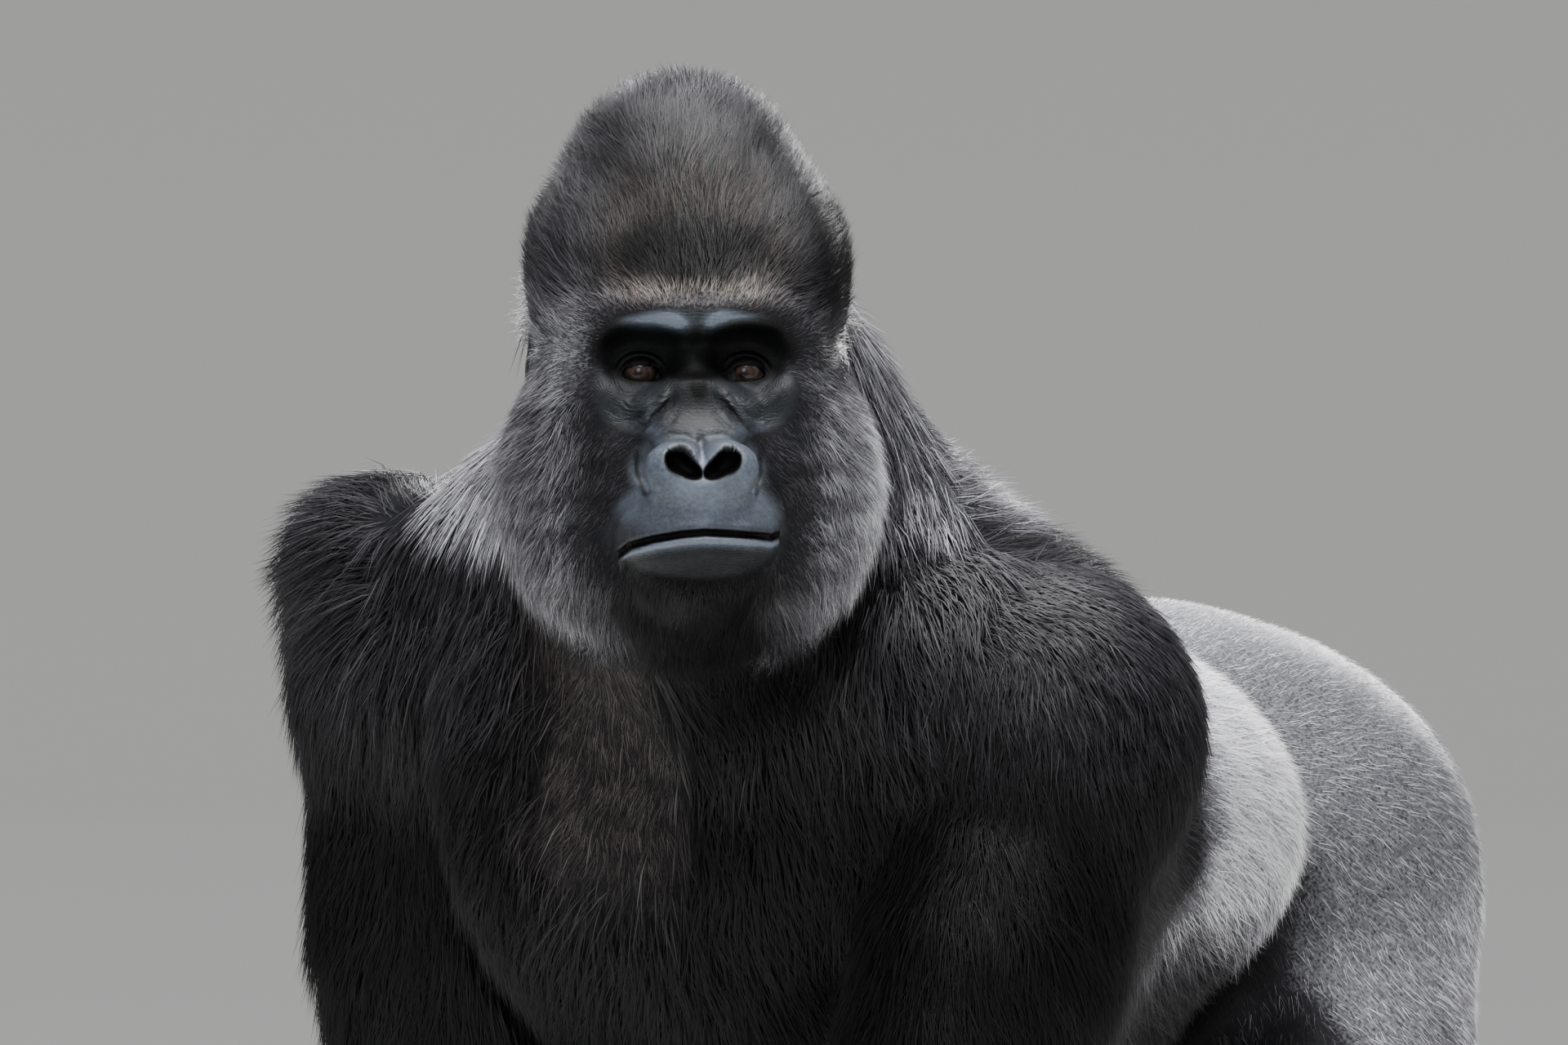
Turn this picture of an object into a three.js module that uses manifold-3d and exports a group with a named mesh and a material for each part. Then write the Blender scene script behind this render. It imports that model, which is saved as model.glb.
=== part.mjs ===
// An adult male western lowland gorilla, life size, on its knuckles, with its head turned to its left.
// Millimetres. +X is the animal's left, +Y runs from its chest to its rump, +Z is up, and it stands on Z = 0.
// Every solid reaches out to the tips of the coat. The body is one smooth field, which is turned into
// surfaces, finest on the face, and then parted with thin plane cuts.
import * as THREE from "three";
import { mergeVertices } from "three/addons/utils/BufferGeometryUtils.js";
import { triTable } from "three/addons/objects/MarchingCubes.js";
import Module from "manifold-3d";

// ---------- Driving dimensions ----------
const EYE_HEIGHT = 1020; // pupils above the floor
const EYE_SPACING = 70; // between the pupils
const EYE_RADIUS = 12;
const HEAD_TURN = 28; // degrees, to the animal's left
const HEAD_PLACE = [117, -350, EYE_HEIGHT]; // between the pupils, from the midpoint under the shoulders
const EAR_PLACE = [117, 84, 14]; // the left ear, from the midpoint between the pupils
const EAR_RADII = [10, 21, 28];
const EAR_TURN = 14; // degrees that each ear faces backwards
const KNUCKLE_SPREAD = 29; // between neighbouring fingers
const HAND_TURN = 8; // degrees that each hand points outwards
const FOOT_TURN = 10;
const LEFT_ARM = {
  shoulder: [252, -52, 780],
  biceps: [230, -118, 630],
  elbow: [206, -172, 480],
  bulge: [202, -194, 405],
  wrist: [192, -222, 128],
  tuft: [-34, 10, 6],
  hand: [190, -232, 0],
};
const RIGHT_ARM = {
  shoulder: [-262, 12, 824],
  biceps: [-264, 24, 640],
  elbow: [-250, 34, 480],
  bulge: [-246, 26, 405],
  wrist: [-234, 4, 128],
  tuft: [-50, -22, 72], // the hair that stands up on the point of the shoulder
  hand: [-232, -8, 0],
};
const LEFT_LEG = { side: 1, step: 45 }; // step moves the knee and foot back along Y
const RIGHT_LEG = { side: -1, step: -40 };

// Where the solids part
const CUT = 0.35; // gap between neighbouring solids
const EYE_GAP = 0.4; // between an eyeball and its socket
const EAR_GAP = 3.5;
const ELBOW_CUT = 0.86; // share of the way from the joint above to the joint
const WRIST_CUT = 0.92;
const KNEE_CUT = 0.93;
const ANKLE_CUT = 0.9;
const FACE_BOX = { side: 78, back: 22, top: 62, bottom: -156 }; // from the midpoint between the pupils

// Grid steps of the surfaces
const BODY_CELL = 60;
const FOOT_CELL = 23;
const HEAD_CELL = 30;
const FACE_CELL = 14;
const EAR_CELL = 10;
const EYE_SEGMENTS = 12;

// ---------- Fields: negative inside, and close to the distance from the surface ----------
const mix = (a, b, t) => a + (b - a) * t;

/** An ellipsoid. turn holds its rotations about X, Y and Z in degrees. */
function egg(centre, radii, turn = [0, 0, 0]) {
  const [cx, cy, cz] = centre;
  const [rx, ry, rz] = radii;
  const angles = turn.map(THREE.MathUtils.degToRad);
  const spin = new THREE.Matrix4().makeRotationFromEuler(new THREE.Euler(...angles)).transpose().elements;
  return (x, y, z) => {
    const [u, v, w] = [x - cx, y - cy, z - cz];
    const a = (spin[0] * u + spin[4] * v + spin[8] * w) / rx;
    const b = (spin[1] * u + spin[5] * v + spin[9] * w) / ry;
    const c = (spin[2] * u + spin[6] * v + spin[10] * w) / rz;
    const reach = Math.hypot(a, b, c);
    const slope = Math.hypot(a / rx, b / ry, c / rz);
    return slope < 1e-9 ? -Math.min(rx, ry, rz) : (reach * (reach - 1)) / slope;
  };
}

/** A limb of straight lengths with round ends: each joint is [x, y, z, radius]. */
function limb(...joints) {
  const lengths = joints.slice(1).map((end, i) => {
    const start = joints[i];
    const along = [end[0] - start[0], end[1] - start[1], end[2] - start[2]];
    return { start, end, along, square: along[0] ** 2 + along[1] ** 2 + along[2] ** 2 };
  });
  return (x, y, z) => {
    let least = Infinity;
    for (const { start, end, along, square } of lengths) {
      const [u, v, w] = [x - start[0], y - start[1], z - start[2]];
      const t = Math.min(1, Math.max(0, (u * along[0] + v * along[1] + w * along[2]) / square));
      const off = Math.hypot(u - along[0] * t, v - along[1] * t, w - along[2] * t);
      least = Math.min(least, off - mix(start[3], end[3], t));
    }
    return least;
  };
}

/** Joins fields, with a fillet about as large as soft. */
function blend(soft, ...fields) {
  return (x, y, z) => {
    let joined = fields[0](x, y, z);
    for (let i = 1; i < fields.length; i++) {
      const next = fields[i](x, y, z);
      const h = Math.max(0, soft - Math.abs(joined - next)) / soft;
      joined = Math.min(joined, next) - (h * h * soft) / 4;
    }
    return joined;
  };
}

/** Hollows body by tool, with the rim rounded by soft. */
function hollow(soft, body, tool) {
  return (x, y, z) => {
    const [a, b] = [body(x, y, z), -tool(x, y, z)];
    const h = Math.max(0, soft - Math.abs(a - b)) / soft;
    return Math.max(a, b) + (h * h * soft) / 4;
  };
}

/** The same shape on both sides of X = 0. */
const paired = (field) => (x, y, z) => field(Math.abs(x), y, z);

/** field drawn in a frame of its own, which frame places. */
function placed(field, frame) {
  const m = frame.clone().invert().elements;
  return (x, y, z) =>
    field(
      m[0] * x + m[4] * y + m[8] * z + m[12],
      m[1] * x + m[5] * y + m[9] * z + m[13],
      m[2] * x + m[6] * y + m[10] * z + m[14],
    );
}

const frameAt = (place, turnZ) =>
  new THREE.Matrix4().makeRotationZ(THREE.MathUtils.degToRad(turnZ)).setPosition(...place);

// ---------- Head, in its own frame: origin between the pupils, facing -Y ----------
function skull() {
  const cranium = egg([0, 92, 58], [100, 122, 100]);
  const crest = egg([-3, 100, 116], [86, 100, 91]);
  const temples = paired(egg([62, 70, 48], [48, 84, 78]));
  const occiput = egg([0, 160, 60], [92, 78, 92]);
  return blend(38, cranium, crest, temples, occiput);
}

function cheeks() {
  const masseters = paired(egg([80, 58, -62], [53, 74, 88], [0, -7, 0]));
  const ruff = paired(egg([58, 40, -122], [56, 62, 58]));
  const beard = egg([0, 18, -150], [74, 56, 50]);
  const cheekbones = paired(egg([60, 10, -20], [26, 28, 26]));
  return blend(30, masseters, ruff, beard, cheekbones);
}

function brow() {
  const arch = paired(limb([0, -19, 36, 15], [34, -18, 43, 14], [58, -4, 38, 14], [74, 18, 20, 15]));
  return blend(10, arch, egg([0, 22, 52], [72, 46, 26]));
}

function muzzle() {
  const midface = egg([0, 14, -42], [60, 52, 62]);
  const upperLip = egg([0, -42, -92], [57, 56, 35], [12, 0, 0]);
  const lowerLip = egg([0, -38, -120], [51, 52, 27]);
  const chin = egg([0, -28, -138], [40, 46, 30]);
  return blend(14, blend(26, midface, upperLip), lowerLip, chin);
}

function nose() {
  const bridge = limb([0, -8, 2, 13], [0, -38, -28, 16], [0, -60, -46, 17]);
  const wings = paired(limb([13, -78, -52, 13], [25, -70, -62, 14], [20, -74, -76, 12]));
  const tip = egg([0, -76, -64], [20, 20, 17]);
  return blend(12, bridge, wings, tip);
}

function headField() {
  const form = blend(16, blend(26, skull(), cheeks()), brow(), muzzle());
  const nosed = blend(9, form, nose());
  const sockets = paired(egg([36, -18, 3], [25, 21, 17], [0, 0, 12]));
  const nostrils = paired(egg([13, -94, -59], [10, 15, 8.5], [0, 16, 0]));
  return hollow(4, hollow(12, nosed, sockets), nostrils);
}

/** The left ear, in a frame of its own. */
function earField() {
  const leaf = egg([0, 0, 0], EAR_RADII, [8, 0, 12]);
  const bowl = egg([9, -7, 2], [8, 13, 19], [8, 0, 12]);
  return hollow(5, leaf, bowl);
}

// ---------- Trunk ----------
function trunkField() {
  const ribs = egg([0, 120, 698], [248, 300, 232]);
  const shoulders = egg([0, 0, 826], [246, 165, 120]);
  const trapezius = paired(limb([34, -110, 925, 98], [118, -20, 880, 98], [200, 20, 838, 76]));
  const raised = limb([-300, -8, 876, 64], [-190, -40, 896, 68], [-60, -70, 926, 90]); // the shoulder that bears
  const pecs = paired(egg([90, -86, 748], [108, 84, 138], [8, 0, 14]));
  const spine = limb([0, 40, 862, 92], [0, 280, 812, 104], [0, 520, 768, 98], [0, 690, 752, 96]);
  const flanks = egg([0, 332, 700], [266, 214, 172]);
  const paunch = egg([0, 330, 600], [156, 214, 176]);
  const waist = limb([0, 330, 650, 152], [0, 560, 650, 152]);
  const rump = egg([0, 678, 680], [258, 234, 184]);
  return blend(46, ribs, shoulders, blend(30, trapezius, raised), pecs, spine, flanks, paunch, waist, rump);
}

function neckField(headFrame) {
  const nape = new THREE.Vector3(8, 150, 30).applyMatrix4(headFrame);
  const throat = new THREE.Vector3(0, 110, -70).applyMatrix4(headFrame);
  return blend(
    40,
    limb([nape.x, nape.y, nape.z, 118], [26, -70, 935, 140], [0, 40, 880, 116]),
    limb([throat.x, throat.y, throat.z, 96], [30, -90, 850, 128]),
  );
}

// ---------- Limbs ----------
function armField({ shoulder, biceps, elbow, bulge, wrist, tuft }) {
  const crest = egg(shoulder.map((v, i) => v + tuft[i]), [66, 92, 62]);
  const deltoid = blend(40, egg(shoulder, [106, 128, 126]), crest);
  const upper = limb([...shoulder, 104], [...biceps, 100], [...elbow, 86]);
  const triceps = egg([biceps[0], biceps[1] + 38, biceps[2] + 20], [84, 92, 150], [-14, 0, 0]);
  const forearm = bulge.map((b, i) => mix(b, wrist[i], 0.55));
  const lower = limb([...elbow, 82], [...bulge, 88], [...forearm, 66], [...wrist, 46]);
  return blend(36, deltoid, upper, triceps, lower);
}

/** A hand on its knuckles, in a frame on the floor, facing -Y. side is 1 for the left hand. */
function handField(side) {
  const palm = egg([0, 8, 92], [60, 27, 44], [-14, 0, 0]);
  const heel = egg([0, 22, 122], [46, 32, 34]);
  const fingers = [-1.5, -0.5, 0.5, 1.5].map((slot) => {
    const x = slot * KNUCKLE_SPREAD;
    const long = 1 - Math.abs(slot) * 0.06;
    return limb(
      [x * 0.9, -2, 84, 17],
      [x, -42 * long, 22, 17],
      [x * 0.98, -38 * long, 12, 16],
      [x * 0.95, 2, 11, 15],
      [x * 0.9, 14, 36, 13],
    );
  });
  const thumb = limb([side * -44, 14, 104, 17], [side * -62, -6, 74, 14], [side * -64, -22, 50, 11]);
  return blend(10, blend(16, palm, heel), blend(5, ...fingers), thumb);
}

const legPoints = ({ side, step }) => ({
  hip: [side * 132, 690 + step * 0.15, 604],
  knee: [side * 222, 504 + step, 352],
  calf: [side * 212, 590 + step, 226],
  ankle: [side * 196, 652 + step, 100],
  foot: [side * 200, 600 + step, 0],
});

function legField(leg) {
  const { hip, knee, calf, ankle } = legPoints(leg);
  const buttock = egg([leg.side * 118, 728, 636], [122, 138, 156]);
  const midThigh = hip.map((h, i) => mix(h, knee[i], 0.5));
  const thigh = limb([...hip, 140], [...midThigh, 126], [...knee, 84]);
  const shank = limb([...knee, 80], [...calf, 74], [...ankle, 46]);
  return blend(34, buttock, thigh, shank);
}

/** A flat foot in a frame on the floor, toes towards -Y. side is 1 for the left foot. */
function footField(side) {
  const sole = limb([0, 92, 31, 36], [0, 0, 36, 36], [side * 4, -62, 23, 30]);
  const outer = limb([side * 14, 80, 22, 28], [side * 30, -50, 18, 24]);
  const instep = egg([0, 40, 74], [42, 56, 44]);
  const toes = [0, 1, 2, 3].map((slot) => {
    const x = side * (-24 + slot * 23);
    const reach = -122 + Math.abs(slot - 0.8) * 9;
    return limb([x * 0.8, -60, 26, 15], [x, mix(-60, reach, 0.6), 22, 13], [x * 1.05, reach, 10, 13]);
  });
  const bigToe = limb([side * -22, 6, 24, 24], [side * -52, -42, 21, 18], [side * -58, -82, 13, 17]);
  return blend(12, blend(20, sole, outer, instep, bigToe), blend(4, ...toes));
}

// ---------- Surfaces ----------
const SQUARE = [[0, 0], [1, 0], [1, 1], [0, 1]];
const CUBE_CORNERS = [0, 1].flatMap((z) => SQUARE.map(([x, y]) => [x, y, z]));
const CUBE_EDGES = [
  ...[0, 1, 2, 3].map((n) => [n, (n + 1) % 4]),
  ...[0, 1, 2, 3].map((n) => [n + 4, ((n + 1) % 4) + 4]),
  ...[0, 1, 2, 3].map((n) => [n, n + 4]),
];
const EDGE_MARGIN = 0.04; // least share of a grid edge between a vertex and the edge's ends

/** Evenly spaced grid lines from low to high, about step apart. */
function gridLines(low, high, step) {
  const count = Math.round((high - low) / step);
  return Array.from({ length: count + 1 }, (_, i) => mix(low, high, i / count));
}

/** The surface where field is 0, by marching cubes. A body that leaves the grid is closed there. */
function surfaceOf(field, xs, ys, zs) {
  const [nx, ny, nz] = [xs.length, ys.length, zs.length];
  const at = (i, j, k) => (k * ny + j) * nx + i;
  const values = new Float64Array(nx * ny * nz);
  for (let k = 0; k < nz; k++)
    for (let j = 0; j < ny; j++)
      for (let i = 0; i < nx; i++) {
        const border = i === 0 || j === 0 || k === 0 || i === nx - 1 || j === ny - 1 || k === nz - 1;
        const value = field(xs[i], ys[j], zs[k]);
        values[at(i, j, k)] = border ? Math.max(value, 1) : value;
      }
  const positions = [];
  const vertices = new Map();
  const vertexOn = (a, b) => {
    const [p, q] = [a, b].map(([i, j, k]) => ({ value: values[at(i, j, k)], place: [xs[i], ys[j], zs[k]] }));
    const key = Math.min(at(...a), at(...b)) + ":" + Math.max(at(...a), at(...b));
    if (!vertices.has(key)) {
      const t = Math.min(1 - EDGE_MARGIN, Math.max(EDGE_MARGIN, p.value / (p.value - q.value)));
      vertices.set(key, positions.length / 3);
      positions.push(...p.place.map((v, axis) => mix(v, q.place[axis], t)));
    }
    return vertices.get(key);
  };
  const index = [];
  for (let k = 0; k < nz - 1; k++)
    for (let j = 0; j < ny - 1; j++)
      for (let i = 0; i < nx - 1; i++) {
        const corners = CUBE_CORNERS.map(([a, b, c]) => [i + a, j + b, k + c]);
        const inside = corners.map((corner) => values[at(...corner)] < 0);
        const row = 16 * inside.reduce((bits, isIn, n) => bits | (isIn ? 1 << n : 0), 0);
        for (let n = 0; triTable[row + n] !== -1; n++) {
          const [from, to] = CUBE_EDGES[triTable[row + n]];
          index.push(vertexOn(corners[from], corners[to]));
        }
      }
  return new THREE.BufferGeometry()
    .setAttribute("position", new THREE.Float32BufferAttribute(positions, 3))
    .setIndex(index.reverse());
}

// ---------- Solids ----------
const wasm = await Module();
wasm.setup();

function solidOf(geometry) {
  const bare = geometry.clone();
  bare.deleteAttribute("normal");
  bare.deleteAttribute("uv");
  const merged = mergeVertices(bare, 1e-4);
  return new wasm.Manifold(
    new wasm.Mesh({
      numProp: 3,
      vertProperties: merged.attributes.position.array,
      triVerts: new Uint32Array(merged.index.array),
    }),
  );
}

/** The half of space past a plane, on the side that its normal points to. */
function halfSpace(point, normal, shift = 0) {
  const size = 6000;
  const out = new THREE.Vector3(...normal).normalize();
  const turn = new THREE.Quaternion().setFromUnitVectors(new THREE.Vector3(0, 0, 1), out);
  const centre = new THREE.Vector3(...point).addScaledVector(out, size / 2 - shift);
  const block = new THREE.BoxGeometry(size, size, size).applyQuaternion(turn).translate(...centre.toArray());
  return solidOf(block);
}

/** Parts solid by a wedge of planes: [what is past all of them, the rest], with a thin gap between. */
function part(solid, ...planes) {
  const wedge = (shift) =>
    planes.map(([point, normal]) => halfSpace(point, normal, shift)).reduce((a, b) => a.intersect(b));
  return [solid.intersect(wedge(0)), solid.subtract(wedge(CUT))];
}

/** The largest body of a solid, without crumbs that a cut left. */
const whole = (solid) => solid.decompose().sort((a, b) => b.volume() - a.volume())[0];

/** A plane across a straight length from a to b, at share t of the way, facing b. */
const across = (a, b, t) => [
  a.map((v, i) => mix(v, b[i], t)),
  b.map((v, i) => v - a[i]),
];

// ---------- Assembly ----------
const headFrame = frameAt(HEAD_PLACE, HEAD_TURN);
const arms = { left: LEFT_ARM, right: RIGHT_ARM };
const legs = { left: LEFT_LEG, right: RIGHT_LEG };
const sideOf = { left: 1, right: -1 };

const handFrames = {
  left: frameAt(LEFT_ARM.hand, HAND_TURN),
  right: frameAt(RIGHT_ARM.hand, -HAND_TURN),
};
const footFrames = {
  left: frameAt(legPoints(LEFT_LEG).foot, FOOT_TURN),
  right: frameAt(legPoints(RIGHT_LEG).foot, -FOOT_TURN),
};

const headInPlace = placed(headField(), headFrame);
const hands = Object.keys(arms).map((side) => placed(handField(sideOf[side]), handFrames[side]));
const feet = Object.keys(legs).map((side) => placed(footField(sideOf[side]), footFrames[side]));
const upperBody = blend(40, trunkField(), neckField(headFrame));
const armed = blend(34, upperBody, armField(LEFT_ARM), armField(RIGHT_ARM));
const legged = blend(40, armed, legField(LEFT_LEG), legField(RIGHT_LEG));
const gorilla = blend(26, blend(18, blend(16, legged, ...hands), ...feet), headInPlace);

/** The gorilla's surface inside a box drawn in frame, whose spans along X, Y and Z are [low, high]. */
function surfaceIn(frame, cell, ...spans) {
  const local = placed(gorilla, frame.clone().invert());
  const lines = spans.map(([low, high]) => gridLines(low, high, cell));
  return solidOf(surfaceOf(local, ...lines).applyMatrix4(frame));
}

const solids = new Map();

function addTrunkAndLimbs() {
  const floor = halfSpace([0, 0, 0], [0, 0, 1]);
  let rest = surfaceIn(new THREE.Matrix4(), BODY_CELL, [-460, 460], [-420, 960], [-40, 1150]);
  rest = rest.subtract(spaceOfHead(CUT));

  for (const [side, arm] of Object.entries(arms)) {
    const s = sideOf[side];
    const shoulder = [[s * 158, arm.shoulder[1], 850], [s * 0.93, -0.25, -0.27]];
    const armpit = [[s * 250, arm.shoulder[1] + 155, 0], [s * 0.5, -0.86, 0]];
    let limbSolid;
    [limbSolid, rest] = part(rest, shoulder, armpit);
    const [lower, upper] = part(limbSolid, across(arm.biceps, arm.elbow, ELBOW_CUT));
    solids.set("upper_arm_" + side, whole(upper));
    const wristPlane = across(arm.bulge, arm.wrist, WRIST_CUT);
    const [, forearm] = part(lower, wristPlane);
    solids.set("forearm_" + side, whole(forearm));
    const fine = surfaceIn(handFrames[side], FOOT_CELL, [-105, 105], [-90, 100], [-30, 200]);
    const [hand] = part(fine, wristPlane);
    solids.set("hand_" + side, whole(hand.intersect(floor)));
  }
  for (const [side, leg] of Object.entries(legs)) {
    const s = sideOf[side];
    const { hip, knee, calf, ankle } = legPoints(leg);
    const groin = [[s * 150, 640, 600], [s * 0.74, 0, -0.67]];
    const fold = [[s * 150, 465 + leg.step * 0.6, 470], [s * 0.62, 0.7, -0.35]];
    let limbSolid;
    [limbSolid, rest] = part(rest, groin, fold);
    const [lower, thigh] = part(limbSolid, across(hip, knee, KNEE_CUT));
    solids.set("thigh_" + side, whole(thigh));
    const anklePlane = across(calf, ankle, ANKLE_CUT);
    const [, shank] = part(lower, anklePlane);
    solids.set("shank_" + side, whole(shank));
    const fine = surfaceIn(footFrames[side], FOOT_CELL, [-105, 105], [-160, 160], [-30, 170]);
    const [foot] = part(fine, anklePlane);
    solids.set("foot_" + side, whole(foot.intersect(floor)));
  }

  let neck, chest, loins;
  [rest, neck] = part(rest, [[10, -95, 900], [0, 0.75, -0.66]]);
  solids.set("neck", whole(neck));
  [rest, chest] = part(rest, [[0, 215, 0], [0, 1, 0]]);
  solids.set("chest", whole(chest));
  [rest, loins] = part(rest, [[0, 520, 0], [0, 1, 0]]);
  solids.set("belly", whole(loins));
  solids.set("rump", whole(rest));
}

/** A plane of the head's own frame, in the animal's. */
const headPlane = (point, normal) => [
  new THREE.Vector3(...point).applyMatrix4(headFrame).toArray(),
  new THREE.Vector3(...normal).transformDirection(headFrame).toArray(),
];

/** Everything on the head's side of the cut behind the jaw. */
function spaceOfHead(shift) {
  const reach = new THREE.BoxGeometry(420, 560, 560).translate(0, 60, 0).applyMatrix4(headFrame);
  return halfSpace(...headPlane([0, 150, -60], [0, -0.9, 0.43]), shift).intersect(solidOf(reach));
}

const earFrame = (side) =>
  headFrame
    .clone()
    .multiply(new THREE.Matrix4().makeTranslation(side * EAR_PLACE[0], EAR_PLACE[1], EAR_PLACE[2]))
    .multiply(new THREE.Matrix4().makeRotationZ(THREE.MathUtils.degToRad(side * EAR_TURN)));

/** An ear. side is 1 for the left one. */
function ear(side) {
  const lines = gridLines(-36, 36, EAR_CELL);
  const left = earField();
  const mirrored = (x, y, z) => left(side * x, y, z);
  return solidOf(surfaceOf(mirrored, lines, lines, lines).applyMatrix4(earFrame(side)));
}

/** The room that the head leaves for an ear. */
function earPocket(side) {
  const room = new THREE.SphereGeometry(1, 14, 10).scale(...EAR_RADII.map((r) => r + EAR_GAP));
  return solidOf(room.applyMatrix4(earFrame(side)));
}

function eyeball(radius, side) {
  const ball = new THREE.SphereGeometry(radius, EYE_SEGMENTS, 8).rotateX(Math.PI / 2);
  return solidOf(ball.translate((side * EYE_SPACING) / 2, 0, 0).applyMatrix4(headFrame));
}

function addHead() {
  const sides = [
    headPlane([FACE_BOX.side, 0, 0], [-1, 0, 0]),
    headPlane([-FACE_BOX.side, 0, 0], [1, 0, 0]),
    headPlane([0, FACE_BOX.back, 0], [0, -1, 0]),
    headPlane([0, 0, FACE_BOX.top], [0, 0, -1]),
    headPlane([0, 0, FACE_BOX.bottom], [0, 0, 1]),
  ];
  const fine = surfaceIn(headFrame, FACE_CELL, [-95, 95], [-120, 40], [-170, 80]);
  const coarse = surfaceIn(headFrame, HEAD_CELL, [-165, 165], [-125, 270], [-235, 235]);
  let [face] = part(fine, ...sides);
  let [, head] = part(coarse, ...sides);
  head = head.intersect(spaceOfHead(0));
  for (const [name, side] of Object.entries(sideOf)) {
    solids.set("eye_" + name, eyeball(EYE_RADIUS, side));
    face = face.subtract(eyeball(EYE_RADIUS + EYE_GAP, side));
    solids.set("ear_" + name, whole(ear(side)));
    head = head.subtract(earPocket(side));
  }
  solids.set("face", whole(face));
  solids.set("head", whole(head));
}

addTrunkAndLimbs();
addHead();

// ---------- Materials ----------
const coat = (color) => new THREE.MeshStandardMaterial({ color, roughness: 0.85, metalness: 0 });
const MATERIALS = {
  eye: new THREE.MeshStandardMaterial({ color: 0x3b2116, roughness: 0.15, metalness: 0 }),
  ear: coat(0x1c1d20),
  head: coat(0x2b292c),
  hand: coat(0x1b1c1f),
  foot: coat(0x1b1c1f),
  belly: coat(0x77767b),
  rump: coat(0x8a898f),
  thigh: coat(0x6f6e73),
};
const materialOf = (name) => MATERIALS[name.replace(/_(left|right)$/, "")] ?? coat(0x161618);

// ---------- Group, standing at the bottom centre of its box ----------
const group = new THREE.Group();
for (const [name, solid] of solids) {
  const { vertProperties, triVerts, numProp } = solid.getMesh();
  const positions = new Float32Array((vertProperties.length / numProp) * 3);
  for (let i = 0; i < positions.length; i++)
    positions[i] = vertProperties[Math.floor(i / 3) * numProp + (i % 3)];
  const geometry = new THREE.BufferGeometry()
    .setAttribute("position", new THREE.BufferAttribute(positions, 3))
    .setIndex(new THREE.BufferAttribute(new Uint32Array(triVerts), 1));
  geometry.computeVertexNormals();
  const mesh = new THREE.Mesh(geometry, materialOf(name));
  mesh.name = name;
  group.add(mesh);
}
const box = new THREE.Box3().setFromObject(group);
const middle = box.getCenter(new THREE.Vector3());
group.position.set(-middle.x, -middle.y, -box.min.z);

export default group;
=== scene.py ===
"""An adult male western lowland gorilla, life size: its skin, eyes, nails and coat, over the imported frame.

Shapes are worked out in the animal's own millimetres: +X is its left, +Y runs from chest to rump, +Z is up,
and the origin is on the floor under the shoulders. Animal.to_frame turns them into the frame's metres.
"""

import logging
import math
from dataclasses import dataclass
from enum import Enum, IntEnum
from typing import Any, Callable, Sequence

import bpy
import numpy as np
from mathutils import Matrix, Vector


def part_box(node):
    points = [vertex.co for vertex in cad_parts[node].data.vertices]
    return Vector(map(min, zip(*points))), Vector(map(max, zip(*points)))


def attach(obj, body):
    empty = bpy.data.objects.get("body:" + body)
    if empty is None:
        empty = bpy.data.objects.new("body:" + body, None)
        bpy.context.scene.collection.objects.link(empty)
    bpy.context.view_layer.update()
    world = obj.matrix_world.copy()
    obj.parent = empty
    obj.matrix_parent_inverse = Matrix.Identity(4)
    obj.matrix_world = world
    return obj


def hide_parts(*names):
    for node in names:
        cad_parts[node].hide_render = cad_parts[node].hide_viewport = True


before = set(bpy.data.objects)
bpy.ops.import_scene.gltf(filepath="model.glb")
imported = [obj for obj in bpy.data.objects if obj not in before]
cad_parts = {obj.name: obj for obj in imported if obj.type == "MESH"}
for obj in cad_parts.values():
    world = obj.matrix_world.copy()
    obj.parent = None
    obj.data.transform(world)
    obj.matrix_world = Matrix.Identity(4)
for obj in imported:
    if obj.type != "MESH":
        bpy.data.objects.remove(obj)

import openvdb
from mathutils import Matrix, Vector

LOG = logging.getLogger("gorilla")
MM = 0.001
BODY = "root"
FAR = 1000.0  # field value, in mm, where a part is too far off to matter
CLEAR = 50.0  # field value, in mm, just outside a part's reach

Array = np.ndarray
Field = Callable[[Array], Array]
Triple = tuple[float, float, float]


# ---------------------------------------------------------------- small helpers


def linear(hex_colour: str) -> tuple[float, float, float, float]:
    """Turns an sRGB hex colour such as #20242b into linear RGBA."""
    channels = [int(hex_colour[i : i + 2], 16) / 255 for i in (1, 3, 5)]
    lit = [c / 12.92 if c <= 0.04045 else ((c + 0.055) / 1.055) ** 2.4 for c in channels]
    return (lit[0], lit[1], lit[2], 1.0)


def ramp(value: Array, low: float, high: float) -> Array:
    """Rises smoothly from 0 at low to 1 at high. high may be the smaller of the two."""
    t = np.clip((value - low) / (high - low), 0.0, 1.0)
    return t * t * (3 - 2 * t)


def bell(value: Array, width: float) -> Array:
    """A smooth bump of height 1 at 0, about 2 * width across."""
    return np.exp(-((value / width) ** 2))


def unit(vectors: Array) -> Array:
    """Scales each row to length 1."""
    return vectors / np.maximum(np.linalg.norm(vectors, axis=-1, keepdims=True), 1e-9)


def fillet(first: Array, second: Array, soft: float) -> Array:
    """The lesser of two fields, with the edge between them filled over a width of soft."""
    h = np.maximum(0, soft - np.abs(first - second)) / soft
    return np.minimum(first, second) - h * h * soft / 4


def ripple(points: Array, wavelength: float, seed: int, waves: int = 7) -> Array:
    """Smooth seeded noise between about -1 and 1.

    Args:
        points: Places in millimetres, one row each.
        wavelength: Typical distance between two crests, in millimetres.
        seed: Chooses the pattern.
        waves: How many sine waves are summed.

    Returns:
        One value for each row.
    """
    rng = np.random.default_rng(seed)
    directions = unit(rng.normal(size=(waves, 3))) * rng.uniform(0.6, 1.5, (waves, 1))
    phases = rng.uniform(0, 2 * math.pi, waves)
    return np.sin(points @ directions.T * (2 * math.pi / wavelength) + phases).sum(1) / math.sqrt(waves)


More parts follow.
